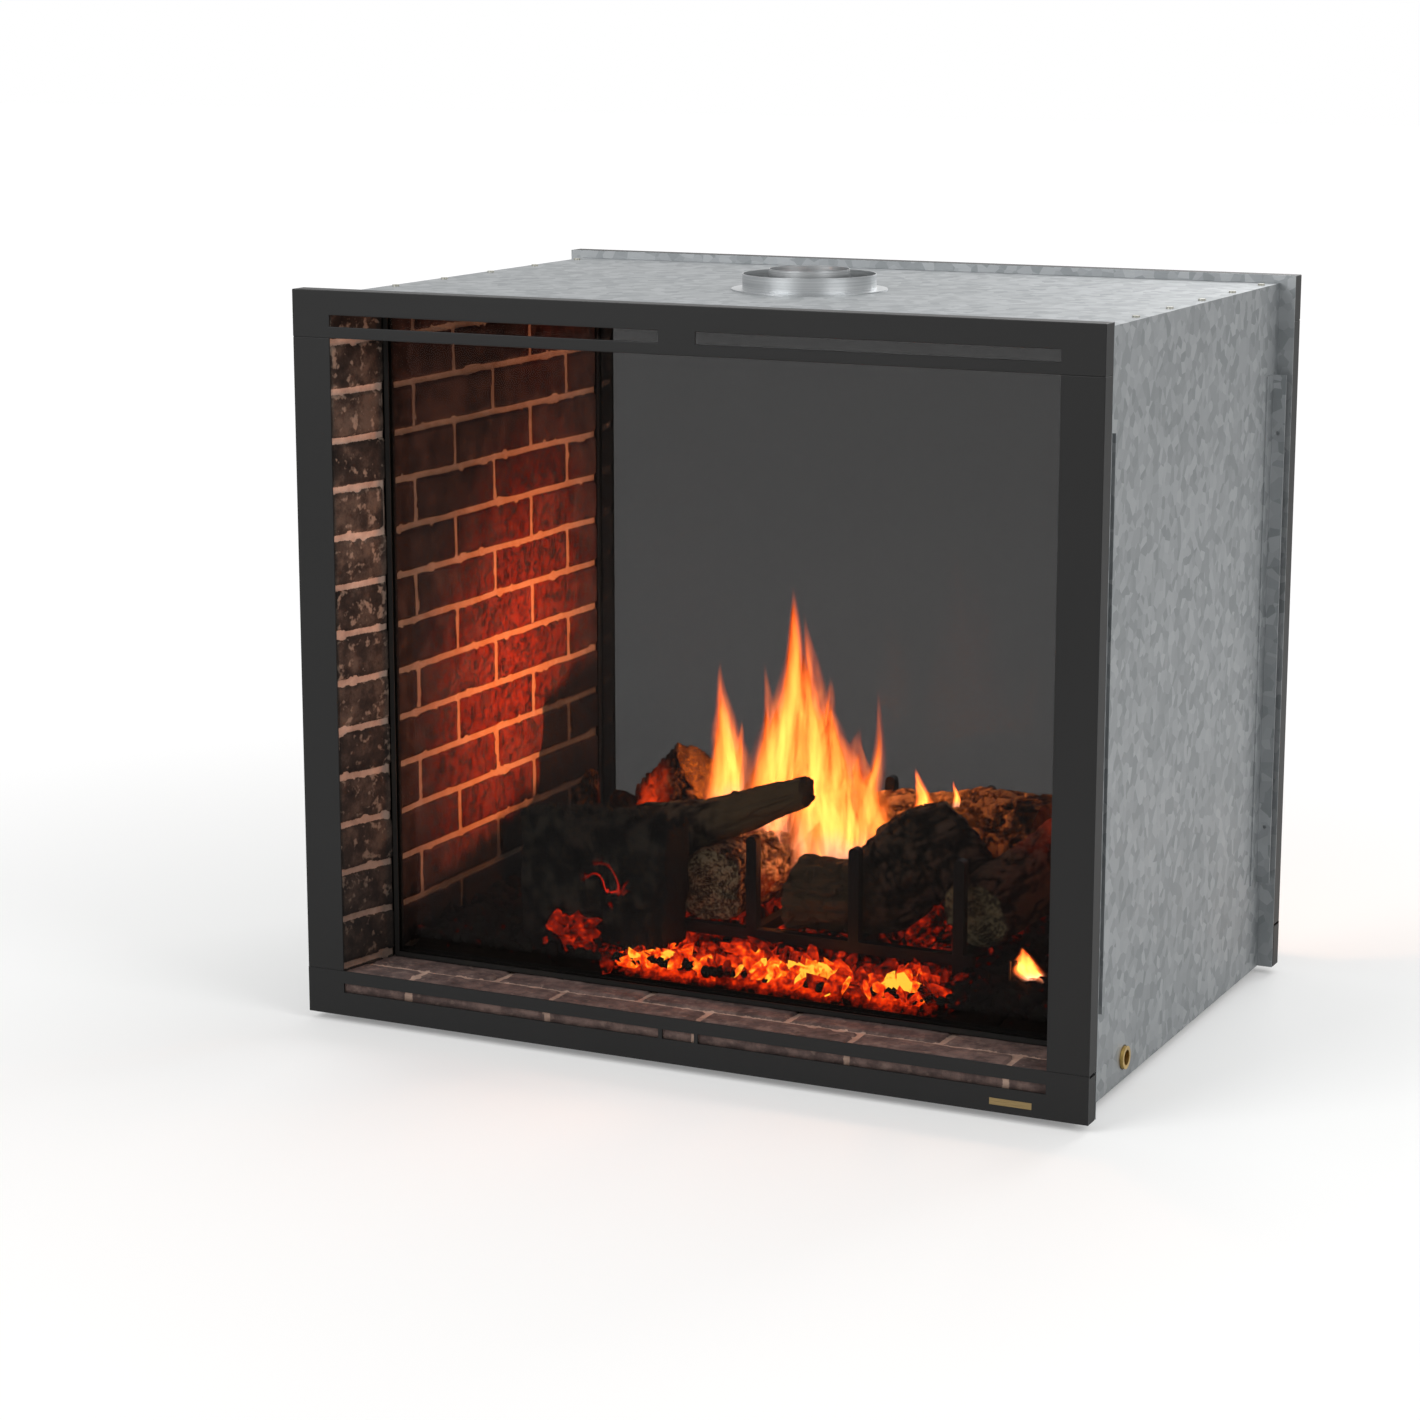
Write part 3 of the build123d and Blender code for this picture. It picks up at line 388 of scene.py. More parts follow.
def brick_finish(name, body_colours, joint_colours, fleck_share, fleck_colour, glow, shade_and_foot_share):
    """Sooty brick with pale mortar. glow is how strongly the fire's light lies on it.

    The joint's edge is broken up by noise, so that it stays crisp between the mesh's points. The glow is
    painted firelight, an emission that is strongest a little above the logs, leans back as it rises, and
    stops at the shade of the logs. It lies wide and bright on the mortar and narrower and redder on the
    brick, where streaks break it up. Below the logs' shade line the colour is blended towards near black
    as painted shade; without glow it is blended so towards the bottom.
    """
    material, tree, shader, place = finish_named(name)
    fine = noise(place, scale=150.0, detail=5.0, roughness=0.7)
    ragged = scaled(fine, by=4.0, plus=layer(tree, "edge"))
    in_brick = span(ragged, start=0.9, end=1.7)
    patches = noise(place, scale=30.0, detail=5.0, roughness=0.68)
    toned = scaled(layer(tree, "tone"), by=0.10, plus=patches)
    body = ramp(toned, body_colours)
    lumps = noise(place, scale=65.0, detail=2.5, roughness=0.6)
    fleck = span(lumps, start=0.57, end=0.66, high=fleck_share)
    speckled = mix(fleck, body, paint(fleck_colour))
    mortar = ramp(patches, joint_colours)
    colour = mix(in_brick, mortar, speckled)
    relief = bump(lumps, strength=0.7, distance=0.003)
    feed(shader, {"Normal": relief, "Roughness": 0.88, "Specular IOR Level": 0.25})
    _, at_y, at_z = add(tree, "SeparateXYZ", {0: place}).node.outputs
    # Darker towards the bottom: below 0.6 the colour is blended towards near black.
    darkened = span(at_z, start=0.1, end=0.6, low=shade_and_foot_share)
    if glow:
        height = maths("SUBTRACT", at_z, glow_middle)
        lean = scaled(height, by=-glow_lean, plus=at_y)
        high = span(height, start=-glow_below, end=glow_above, low=-1.0)
        wide = maths("DIVIDE", lean, glow_width)
        spread = add(tree, "CombineXYZ", {0: wide, 1: high})
        distance = add(tree, "VectorMath", {0: spread}, operation="LENGTH")
        near = span(distance, start=1.25, end=0.0, interpolation_type="SMOOTHSTEP")
        shade_step = span(at_y, start=0.095, end=0.115, high=-shade_rise)
        above_step = maths("ADD", at_z, shade_step)
        shade_line = scaled(at_y, by=-shade_slope, plus=above_step)
        stepped = scaled(patches, by=0.06, plus=shade_line)
        unshaded = span(stepped, start=shade_level, end=shade_level + 0.03)
        open_glow = scaled(near, by=unshaded)
        # Painted shade of the logs: below the shade line the colour is blended towards near black.
        darkened = span(unshaded, low=shade_and_foot_share)
        # Streaks that break up the painted firelight on the brick faces.
        glow_streaks = noise(place, scale=75.0, detail=4.0, roughness=0.75, distortion=0.6)
        blotch = span(glow_streaks, start=0.40, end=0.60, low=0.12, high=1.3)
        on_face = scaled(maths("POWER", open_glow, 1.6), by=blotch)
        strength = add(tree, "Mix", {0: in_brick, 2: open_glow, 3: on_face})
        light = mix(in_brick, paint("#ff6c18"), paint("#bc2004"))
        # Painted firelight: orange emission on the mortar and red on the brick, where the fire's light falls.
        feed(shader, {"Emission Color": light, "Emission Strength": scaled(strength, by=glow)})
    # The darkening goes into the base colour: painted shade with glow, darker towards the bottom without it.
    feed(shader, {"Base Color": mix(darkened, paint("#050404"), colour)})
    material.cycles.emission_sampling = "NONE"
    return material


# Inner walls: the fire's light and the logs' shade are painted on.
inner_brick = brick_finish(
    "sooted_firebrick_painted_firelight_and_shade", ((0.3, "#2e231f"), (0.5, "#4b3730"), (0.7, "#6c5148")),
    ((0.3, "#a58672"), (0.7, "#d3b8a2")), fleck_share=0.35, fleck_colour="#7d6358", glow=3.4,
    shade_and_foot_share=0.35,
)
outer_brick = brick_finish(
    "aged_firebrick", ((0.32, "#191310"), (0.5, "#2f2621"), (0.68, "#54463d")),
    ((0.3, "#8d7669"), (0.7, "#bda595")), fleck_share=0.75, fleck_colour="#8c7a6c", glow=0.0, shade_and_foot_share=0.4,
)
hearth_brick = brick_finish(
    "worn_hearth_firebrick", ((0.32, "#352a28"), (0.5, "#4e403d"), (0.68, "#6b5852")),
    ((0.3, "#7d675c"), (0.7, "#ae9484")), fleck_share=0.3, fleck_colour="#8a766b", glow=0.0, shade_and_foot_share=1.0,
)
bed_height = 0.0125
wall_shift = 0.0155
shade_softening = 0.3
for hand, side in (("left", -1), ("right", 1)):
    low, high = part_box(f"{hand}_brick_panel")
    face_x = low.x if side > 0 else high.x
    piece = brick_panel(
        f"{hand}_brick_wall", corner=(face_x, high.y, low.z), along=(0, -1, 0), up=(0, 0, 1),
        out=(-side, 0, 0), length=high.y - low.y, height=high.z - low.z, thickness=high.x - low.x,
        seed=3 + side, module=wall_module, shift=wall_shift, bed=bed_height,
    )
    belongs(piece, "root", "firebrick", inner_brick, f"{hand}_brick_panel")
    piece.cycles.shadow_terminator_offset = shade_softening
    piece.cycles.shadow_terminator_geometry_offset = shade_softening

# The returns flare from the glass out to the stiles, so that the brickwork seems to run on past the glass.
return_thickness = 0.020
return_drop = 0.002
for depth, facing in (("front", -1), ("rear", 1)):
    for hand, side in (("left", -1), ("right", 1)):
        low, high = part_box(f"{depth}_{hand}_brick_return")
        inner_x = low.x if side > 0 else high.x
        near_glass = Vector((inner_x, high.y if facing < 0 else low.y, low.z))
        outer_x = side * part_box("front_right_stile")[0].x
        near_trim = Vector((outer_x, low.y if facing < 0 else high.y, low.z))
        run = near_trim - near_glass
        along = run.normalized()
        out = Vector((-side * abs(along.y), facing * abs(along.x), 0))
        piece = brick_panel(
            f"{depth}_{hand}_brick_flare", corner=near_glass, along=along, up=(0, 0, 1), out=out,
            length=run.length, height=high.z - low.z, thickness=return_thickness - joint_depth,
            seed=20 + 2 * side + facing, module=wall_module, shift=wall_module / 2,
            bed=bed_height - return_drop,
        )
        belongs(piece, "root", "firebrick", outer_brick, f"{depth}_{hand}_brick_return")

# The hearth is two rows of flat bricks outside each glass, with their joints staggered.
hearth_module = 0.2
hearth_row = 0.052
hearth_start = 0.010
for depth, facing in (("front", -1), ("rear", 1)):
    low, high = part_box(f"{depth}_hearth_bricks")
    near_y = low.y if facing < 0 else high.y
    piece = brick_panel(
        f"{depth}_hearth_rows", corner=(low.x, near_y, high.z), along=(1, 0, 0), up=(0, -facing, 0),
        out=(0, 0, 1), length=high.x - low.x, height=high.y - low.y, thickness=high.z - low.z,
        seed=31 + facing, module=hearth_module, rows=hearth_row, shift=-low.x - hearth_start - joint / 2,
    )
    belongs(piece, "root", "firebrick", hearth_brick, f"{depth}_hearth_bricks")

# Glass doors: one large pane of ceramic glass at each side, in a thin black steel frame hinged at the top.
# The glass is 6 mm thick and tinted by heat and soot, so that what is behind it looks darker.
pane_cover = 0.52
smoked_glass, tree, shader, _ = finish_named("smoked_ceramic_glass")
feed(shader, {"Base Color": paint("#090807"), "Roughness": 0.04, "IOR": 1.5, "Specular IOR Level": 0.06})
feed(shader, {"Alpha": pane_cover})
dress(smoked_glass, "clear_glass", "front_glass_pane", "rear_glass_pane")
for name in ("front_glass_pane", "rear_glass_pane"):
    nodes[name].visible_shadow = False
    nodes[name].visible_diffuse = False

# The glass frames press on a round rope of glass fibre, laid in fine strands.
rope_pitch = 0.004
waves_in_turn = 6.3
glass_rope, tree, shader, place = finish_named("glass_fibre_rope")
turned = add(tree, "Mapping", {"Vector": place, "Rotation": (0.6, 0.5, 0.7)})
waves = 1 / rope_pitch / waves_in_turn
twist = add(tree, "TexWave", {"Vector": turned, "Scale": waves, "Distortion": 1.0}, give="Fac")
tone = ramp(twist, ((0.1, "#171615"), (0.9, "#35322e")))
strands = bump(twist, strength=0.5, distance=0.0006)
feed(shader, {"Base Color": tone, "Normal": strands, "Roughness": 0.9})
dress(glass_rope, "rope_gasket", "glass_gaskets")

# Log grate: bars and uprights cast in iron, near black with a trace of rust brown.
# The sand of the mould leaves a fine grain on the skin.
cast_iron = plain_finish(
    "sand_cast_iron", ((0.35, "#0b0a0a"), (0.6, "#171514"), (0.8, "#2a201b")),
    {"scale": 22.0, "detail": 4.0}, roughness=0.5, metallic=0.4,
    grain={"scale": 420.0, "detail": 4.0, "strength": 0.5, "distance": 0.0008},
)
dress(cast_iron, "cast_grate", "log_grate")

# Burner: a perforated steel tube under the embers and the pilot beside it.
# Stainless steel turns straw and blue where the flame heats it.
heated_steel = plain_finish(
    "heat_tinted_steel", ((0.3, "#6d6a66"), (0.5, "#8a7457"), (0.65, "#5b5a6e"), (0.8, "#77726c")),
    {"scale": 30.0, "detail": 3.0}, roughness=0.42, metallic=1.0,
)
dress(heated_steel, "burner_steel", "burner_tube", "air_shutter", "pilot_assembly")

# Log set: ceramic fibre logs, cast in rubber moulds from real wood and painted, with charred and ashen parts.
# They lie on the grate as a fire is laid: bark stands up in long plates, and char splits into small blocks.
grate_pitch = 0.139
grate_half_depth = 0.165
grate_middle = 0.002
grate_level = 0.130
ember_level = 0.095
log_lines = 150
log_turns = 144
end_rings = (0.97, 0.90, 0.78, 0.63, 0.46, 0.28, 0.12, 0.0)
end_dip = 0.004
end_grain = 0.011
seat_gap = 0.0003
fibre_height = 0.22
lump_height = 0.09
plate_stretch = 0.26
fibre_stretch = 0.08
crack_width = 0.17
plate_width = 0.42
plate_sink = 0.6
small_block = 0.7
lean_reach = (0.55, 1.0)
bark_plate = 0.011
fibre_size = 0.0035
char_block = 0.024
slab_outline_share = (1.3, 1.24, 1.31, 1.27)
split_outline_share = (0.68, 0.74, 0.98, 0.72, 0.66, 0.98, 0.66, 0.66, 0.97)


def spline(stations, amount):
    """Values along a smooth line through evenly counted stations (Catmull-Rom), amount from 0 to 1."""
    last = len(stations) - 1
    place = np.clip(amount * last, 0, last - 1e-9)
    first = np.floor(place).astype(int)
    part = (place - first)[:, None]
    ends = np.concatenate([2 * stations[:1] - stations[1:2], stations, 2 * stations[-1:] - stations[-2:-1]])
    before, start, end, after = (ends[first + step] for step in range(4))
    bend = (2 * before - 5 * start + 4 * end - after) * part**2
    swing = (3 * start - before - 3 * end + after) * part**3
    return start + 0.5 * ((end - before) * part + bend + swing)


def outline_radius(corners, angle):
    """The distance to the side of a flat-faced outline, by the chord between the two nearest corners."""
    count = len(corners)
    turn = 2 * np.pi / count
    place = np.mod(angle / turn - 0.5, count)
    first = np.floor(place).astype(int) % count
    part = (place - np.floor(place)) * turn
    near, far = np.asarray(corners)[first], np.asarray(corners)[(first + 1) % count]
    return near * far * np.sin(turn) / (near * np.sin(part) + far * np.sin(turn - part))


def timber(name, stations, radius, seat, seed, bark, char, tall=1.0, corners=None, tilt=(0, 0), aside=0.0):
    """A log swept along stations of (x, y, height, size) in pitches, half depths, radii and radii.

    Round each point of the line the radius is the local one, times the outline and slow lumps, plus bark
    plates that run along the log, fine fibres, and char cracks in blocks. tilt leans the sawn ends. They
    close in rings that dip with noise, and the underside is flat where it rests on its seat. The layers
    say what the finish needs: the sawn end, the distance from its heart, and the depth of the bark.
    """
    x, y, z, size = np.array(stations, float).T
    route = np.stack(
        [grate_middle + grate_pitch * x, grate_half_depth * y + aside, seat + radius * z, radius * size],
        axis=-1,
    )
    path = spline(route, np.linspace(0, 1, log_lines))
    centre, size = path[:, :3], path[:, 3:]
    along = np.gradient(centre, axis=0)
    along /= np.linalg.norm(along, axis=1, keepdims=True)
    upright = np.abs(along[:, 2]).mean() > 0.7
    level = np.cross((0.0, 1.0, 0.0) if upright else (0.0, 0.0, 1.0), along)
    level /= np.linalg.norm(level, axis=1, keepdims=True)
    over = np.cross(along, level)
    angle = np.linspace(0, 2 * np.pi, log_turns, endpoint=False)
    length = np.concatenate([[0], np.cumsum(np.linalg.norm(np.diff(centre, axis=0), axis=1))])[:, None]
    ring = np.stack(np.broadcast_arrays(radius * np.cos(angle), radius * np.sin(angle), length), axis=-1)
    lumps = 1 + lump_height * fractal(ring, radius * 0.9, seed, 3)
    outline = outline_radius(corners, angle)[None] if corners else 1.0
    plates = np.abs(fractal(ring * (1, 1, plate_stretch), bark_plate, seed + 7, 3))
    plates = bark * (smooth(0.0, plate_width, plates) - plate_sink)
    fibres = fibre_height * bark * fractal(ring * (1, 1, fibre_stretch), fibre_size, seed + 13, 2)
    cells = np.minimum(
        np.abs(fractal(ring, char_block, seed + 19, 2)),
        np.abs(fractal(ring, char_block * small_block, seed + 29, 2)),
    )
    cracks = char * (smooth(0.0, crack_width, cells) - 1)
    even = size * lumps * outline
    reach = even + plates + fibres + cracks

    def around(rows, distance, out=0.0):
        """Points round the line at these rows, at a distance from it."""
        side = distance * np.cos(angle)
        rise = distance * np.sin(angle) * tall
        point = centre[rows, None] + side[..., None] * level[rows, None] + rise[..., None] * over[rows, None]
        lean = out + tilt[0] * side + tilt[1] * rise
        share = np.linspace(-1, 1, log_lines)[rows]
        share = np.sign(share) * smooth(*lean_reach, np.abs(share))
        return point + along[rows, None] * (lean * share[:, None])[..., None]

    body = around(np.arange(log_lines), reach)
    starts, ends = [], []
    for share in end_rings:
        grain = np.stack([share * np.cos(angle), share * np.sin(angle), 0 * angle], -1) * radius
        dip = end_dip * (fractal(grain, end_grain, seed + 41, 3) * min(1.0, 4 * share) + 1 - share**6)
        starts.insert(0, around(np.array([0]), even[:1] * share, dip[None]))
        ends.append(around(np.array([log_lines - 1]), even[-1:] * share, dip[None]))
    points = np.concatenate(starts + [body] + ends)
    points[..., 2] = np.maximum(points[..., 2], seat + seat_gap)
    rings = len(end_rings)
    heart = np.concatenate([end_rings[::-1], np.ones(log_lines), end_rings])[:, None]
    sawn = np.zeros((log_lines + 2 * rings, 1))
    sawn[:rings] = 1
    sawn[-rings:] = 1
    depth = np.zeros((log_lines + 2 * rings, log_turns))
    depth[rings:-rings] = (plates + cracks) * 1000
    way = np.concatenate([np.zeros(rings), np.linspace(0, 1, log_lines), np.ones(rings)])[:, None]
    layers = {"sawn": sawn, "heart": heart, "depth": depth, "way": way}
    return surface(name, points, around=True, fill=True, layers=layers)


ring_count = 62.0


def log_finish(
    name, bark_tones, end_tones, burn, ash, dust, lit=0.0, lit_place=(0, 0, 0), lit_reach=0.15,
    glow_tint="#ff4a10", veins=0.0, pale=None, pale_span=(0.4, 0.2),
):
    """Painted ceramic log: bark tones that follow the plates, char in patches, dust on the raised parts.

    burn is how much of the body is black, ash how much dust lies on it. The fire lights the parts within
    lit_reach of lit_place in soft patches, or in thin veins, and pale is a lighter tone of one end's bark.
    """
    material, tree, shader, place = finish_named(name)
    sawn = layer(tree, "sawn")
    patch = noise(place, scale=44.0, detail=8.0, roughness=0.7)
    fine = noise(place, scale=170.0, detail=5.0, roughness=0.75)
    spread = span(patch, start=0.3, end=0.7, low=0.1, high=0.9)
    speck = span(fine, start=0.34, end=0.66, low=-0.05, high=0.75)
    mixed = maths("ADD", speck, spread)
    raised = scaled(layer(tree, "depth"), by=0.085, plus=mixed)
    bark = ramp(raised, bark_tones)
    if pale:
        uneven = scaled(spread, by=0.25, plus=layer(tree, "way"))
        share = span(uneven, start=pale_span[0] + 0.12, end=pale_span[1] + 0.12, high=0.75)
        bark = mix(share, bark, paint(pale))
    rings = scaled(layer(tree, "heart"), by=ring_count)
    wave = maths("SINE", rings)
    ringed = scaled(wave, by=0.07, plus=mixed)
    end = ramp(ringed, end_tones)
    body = mix(sawn, bark, end)
    charring = noise(place, scale=13.0, detail=7.0, roughness=0.62)
    charred = span(charring, start=0.74 - burn * 0.5, end=0.84 - burn * 0.5)
    spared = scaled(sawn, by=-0.7, plus=1.0)
    charred = scaled(charred, by=spared)
    black = ramp(raised, ((0.6, "#070606"), (0.9, "#1c1714"), (1.25, "#4c4037")))
    burnt = mix(charred, body, black)
    flakes = noise(place, scale=85.0, detail=6.0, roughness=0.8)
    flake = span(flakes, start=0.67 - ash * 0.2, end=0.74 - ash * 0.2, high=0.7)
    ashen = mix(flake, burnt, paint(dust))
    rough = bump(mixed, strength=0.9, distance=0.0035)
    feed(shader, {"Base Color": ashen, "Normal": rough, "Roughness": 0.92, "Specular IOR Level": 0.2})
    material.cycles.emission_sampling = "NONE"
    # Painted firelight: emission near lit_place, in patches that follow the char noise, and in thin veins
    # where veins is 1.
    if lit:
        offset = tuple(-part / lit_reach for part in lit_place)
        stretch = (1 / lit_reach,) * 3
        centred = add(tree, "Mapping", {"Vector": place, "Location": offset, "Scale": stretch})
        distance = add(tree, "VectorMath", {0: centred}, operation="LENGTH")
        near = span(distance, start=1.0, end=0.0, high=lit, interpolation_type="SMOOTHSTEP")
        lit_patches = span(charring, start=0.46, end=0.62, low=0.03)
        lines = noise(place, scale=24.0, detail=1.0, distortion=0.5)
        off_line = maths("ABSOLUTE", maths("SUBTRACT", lines, 0.5))
        vein = span(off_line, start=0.035, end=0.0)
        lit_patches = add(tree, "Mix", {0: veins, 2: lit_patches, 3: vein})
        strength = scaled(near, by=lit_patches)
        feed(shader, {"Emission Color": paint(glow_tint), "Emission Strength": strength})
    return material


def lay(node, finish, *shape, **options):
    """A log of the set, in the place of its node."""
    piece = timber(node.replace("_log", "_timber"), *shape, **options)
    belongs(piece, "root", "ceramic_log", finish, node)


lay(
    "front_left_log",
    log_finish(
        "charred_oak_ceramic", ((0.5, "#100f0d"), (0.85, "#211e1b"), (1.25, "#4a443a")),
        ((0.5, "#100e0c"), (1.2, "#332d26")), burn=0.5, ash=0.0, dust="#6f6958", lit=3.4,
        lit_place=(-0.176, -0.226, 0.178), lit_reach=0.038, glow_tint="#ff2a14", veins=1.0,
    ),
    ((-2.14, -1.2, 2.93, 1.0), (-1.38, -1.2, 2.9, 1.0), (-0.66, -1.2, 2.84, 0.98)), 0.209 * grate_pitch,
    ember_level, 11, bark=0.004, char=0.003, tall=3.2, corners=slab_outline_share, aside=-0.002,
    tilt=(0.1, 0.02),
)
lay(
    "cross_log",
    log_finish(
        "bare_wood_ceramic", ((0.5, "#2c1f18"), (0.85, "#6b4e3d"), (1.25, "#b08866")),
        ((0.45, "#3a2e22"), (0.85, "#7d6a50"), (1.25, "#b9a480")), burn=0.3, ash=0.3, dust="#b29c78",
        lit=1.3, lit_place=(-0.03, -0.08, 0.2), lit_reach=0.075,
    ),
    ((-0.46, -0.98, 0.93, 0.98), (-0.41, -0.12, 0.96, 1.02), (-0.34, 0.88, 0.93, 0.98)),
    0.338 * grate_pitch, grate_level, 17, bark=0.004, char=0.003, tilt=(0.12, -0.1),
)
branch_sink = 0.006
lay(
    "branch_log",
    log_finish(
        "weathered_bark_ceramic", ((0.4, "#120d0a"), (0.85, "#3a2e26"), (1.3, "#75624c")),
        ((0.4, "#2b211a"), (1.2, "#6d5a45")), burn=0.42, ash=0.1, dust="#86705a", pale="#7c6648",
        pale_span=(0.5, 0.72),
    ),
    (
        (-1.43, -0.6, 3.07, 1.17), (-0.92, -0.6, 3.53, 1.15), (-0.4, -0.61, 4.4, 0.9),
        (0.325, -0.64, 5.82, 0.6),
    ),
    0.216 * grate_pitch, grate_level - branch_sink, 23, bark=0.003, char=0.0, tilt=(0.0, 0.25),
)
lay(
    "front_right_log",
    log_finish(
        "charred_split_oak_ceramic", ((0.4, "#1a120e"), (0.85, "#33261f"), (1.3, "#6c5747")),
        ((0.4, "#2f291d"), (0.85, "#6b6149"), (1.3, "#9a8e6e")), burn=0.3, ash=0.12, dust="#7c6a52",
        pale="#6e5840", pale_span=(0.42, 0.22), lit=2.2, lit_place=(0.08, -0.03, 0.215), lit_reach=0.10,
    ),
    (
        (0.345, -0.764, 0.79, 0.827), (0.986, -0.655, 0.9, 1.0), (1.353, -0.497, 1.731, 1.058),
        (1.734, -0.364, 2.442, 0.904),
    ),
    0.374 * grate_pitch, grate_level, 31, bark=0.004, char=0.007, tilt=(-0.35, -0.12),
)
lay(
    "back_right_log",
    log_finish(
        "toasted_bark_ceramic", ((0.5, "#22150e"), (0.85, "#74482a"), (1.25, "#c08450")),
        ((0.5, "#4a3220"), (1.2, "#a5794c")), burn=0.35, ash=0.15, dust="#a8845c", lit=1.6,
        lit_place=(0.12, 0.05, 0.26), lit_reach=0.13, glow_tint="#ff7a24",
    ),
    ((0.23, 0.461, 0.857, 0.936), (1.137, 0.509, 0.943, 1.0), (2.144, 0.533, 1.014, 1.071)),
    0.504 * grate_pitch, grate_level, 37, bark=0.005, char=0.003, tilt=(0.1, 0.1),
)
lay(
    "right_bark_log",
    log_finish(
        "red_bark_ceramic", ((0.4, "#150e0a"), (0.85, "#33221a"), (1.3, "#6e5340")),
        ((0.4, "#332a1f"), (0.85, "#74684f"), (1.3, "#a2956f")), burn=0.4, ash=0.16, dust="#75764f",
        lit=1.4, lit_place=(0.36, 0.02, 0.26), lit_reach=0.12, glow_tint="#d0300c",
    ),
    ((2.043, -0.788, 0.91, 1.012), (2.302, -0.291, 1.6, 1.023), (2.662, 0.376, 2.67, 0.953)),
    0.309 * grate_pitch, grate_level, 41, bark=0.006, char=0.0, tilt=(0.2, -0.1),
)
glowing_char = log_finish(
    "glowing_char_ceramic", ((0.5, "#0f0b09"), (0.85, "#35241b"), (1.25, "#84583a")),
    ((0.4, "#2c1a0b"), (0.85, "#5a3513"), (1.3, "#82531f")), burn=0.5, ash=0.05, dust="#8d6a4a", lit=7.0,
    lit_place=(-0.27, 0.05, 0.235), lit_reach=0.06, glow_tint="#ff4210", veins=0.45,
)
lay(
    "split_log", glowing_char,
    ((-2.446, 0.739, 0.64, 0.82), (-2.0, 0.642, 0.5, 0.984), (-1.353, 0.509, 2.06, 0.984)),
    0.439 * grate_pitch, grate_level, 47, bark=0.003, char=0.005, corners=split_outline_share,
)
lay(
    "wedge_log", glowing_char,
    ((-2.43, 0.1, 0.0, 1.09), (-2.41, 0.11, 2.77, 0.9), (-2.33, 0.12, 4.76, 0.3)), 0.245 * grate_pitch,
    ember_level, 53, bark=0.002, char=0.004, corners=split_outline_share,
)

# Ember bed: glass-fibre embers that glow in the flame, over lava rock that hides the burner tray.
# They are loose broken pieces, heaped towards the logs, bright over the burner and dark at the rim.
ember_count = 2600
rock_count = 620
ember_size = 0.017
rock_size = 0.0105
heap_middle = 0.06
heap_half_length = 0.38
heap_half_depth = 0.22
heap_rise = 0.016
heap_lump = 0.003
heap_lump_size = 0.02
heat_patch_size = 0.045
broken_corners = 0.28
bed_ends = (0.27, 0.18)
hot_band = (0.14, 0.22)
cool_rim = (0.266, 0.254)
middle_heat = 0.32


def heap_height(x, y, level):
    """The top of the heap: level, plus a rise towards the middle, with lumps."""
    far = ((x - heap_middle) / heap_half_length) ** 2 + (y / heap_half_depth) ** 2
    lumps = heap_lump * lattice_noise(np.stack([x, y, 0 * x], -1) / heap_lump_size, 71)
    return level + heap_rise * np.exp(-1.6 * far) + lumps


def ember_heat(x, y):
    """How hot the embers are: hottest along the bed's two long sides, cool at its ends, in uneven spots."""
    band = middle_heat + (1 - middle_heat) * smooth(*hot_band, np.abs(y))
    spots = lattice_noise(np.stack([x, y, 0 * x], -1) / heat_patch_size, 83)
    ends = smooth(*bed_ends, np.abs(x - heap_middle)) * smooth(*cool_rim, np.abs(y))
    return band * ends * (0.70 + 0.36 * spots)


def broken_pieces(name, middles, sizes, squash, heat, seed, detail=1):
    """Many broken pieces as one mesh: a copy of a small ball for each, with its corners moved in or out.

    A point is middle + turn (ball point, times size, squash and 1 + noise). Each has its own turn, drawn
    as a random quaternion, and its own heat.
    """
    made = bmesh.new()
    bmesh.ops.create_icosphere(made, subdivisions=detail, radius=1.0)
    ball = np.array([vertex.co for vertex in made.verts])
    faces = np.array([[vertex.index for vertex in face.verts] for face in made.faces])
    made.free()
    draw = np.random.default_rng(seed)
    count = len(middles)
    quaternion = draw.normal(size=(4, count))
    a, b, c, d = quaternion / np.linalg.norm(quaternion, axis=0)
    turn = np.array(
        [
            [1 - 2 * (c * c + d * d), 2 * (b * c - a * d), 2 * (b * d + a * c)],
            [2 * (b * c + a * d), 1 - 2 * (b * b + d * d), 2 * (c * d - a * b)],
            [2 * (b * d - a * c), 2 * (c * d + a * b), 1 - 2 * (b * b + c * c)],
        ]
    ).transpose(2, 0, 1)
    rough = 1 + broken_corners * draw.uniform(-1, 1, (count, len(ball), 1))
    shape = ball[None] * rough * np.asarray(squash) * sizes[:, None, None]
    points = middles[:, None] + np.einsum("nij,nkj->nki", turn, shape)
    offset = (np.arange(count) * len(ball))[:, None, None]
    corners = (faces[None] + offset).reshape(-1, 3)
    return placed(name, mesh_of(name, points, corners, {"fire_heat": heat[:, None]}))


def ember_finish(name, dark, pale, glow):
    """Broken mineral pieces: dull skin with pale dust, and where heat is high a glow from red to yellow."""
    material, tree, shader, place = finish_named(name)
    dust = noise(place, scale=240.0, detail=4.0, roughness=0.7)
    tone = ramp(dust, ((0.4, dark), (0.72, pale)))
    cells = noise(place, scale=95.0, detail=4.0, roughness=0.6)
    fire = ramp(
        maths("ADD", layer(tree, "fire_heat"), scaled(cells, by=1.4, plus=-0.74)),
        ((0.14, "#000000"), (0.42, "#6a0e03"), (0.68, "#d62c06"), (0.86, "#ff7014"), (1.0, "#ffb234")),
    )
    pores = bump(dust, strength=0.6, distance=0.001)
    feed(shader, {"Base Color": tone, "Normal": pores, "Roughness": 0.95, "Specular IOR Level": 0.15})
    if glow:
        feed(shader, {"Emission Color": fire, "Emission Strength": glow})
    material.cycles.emission_sampling = "NONE"
    return material


ember_mix = ember_finish("glowing_ember_fibre", "#0c0806", "#2a1c15", glow=6.0)
lava_rock = ember_finish("lava_rock", "#12100d", "#3d362c", glow=0.0)

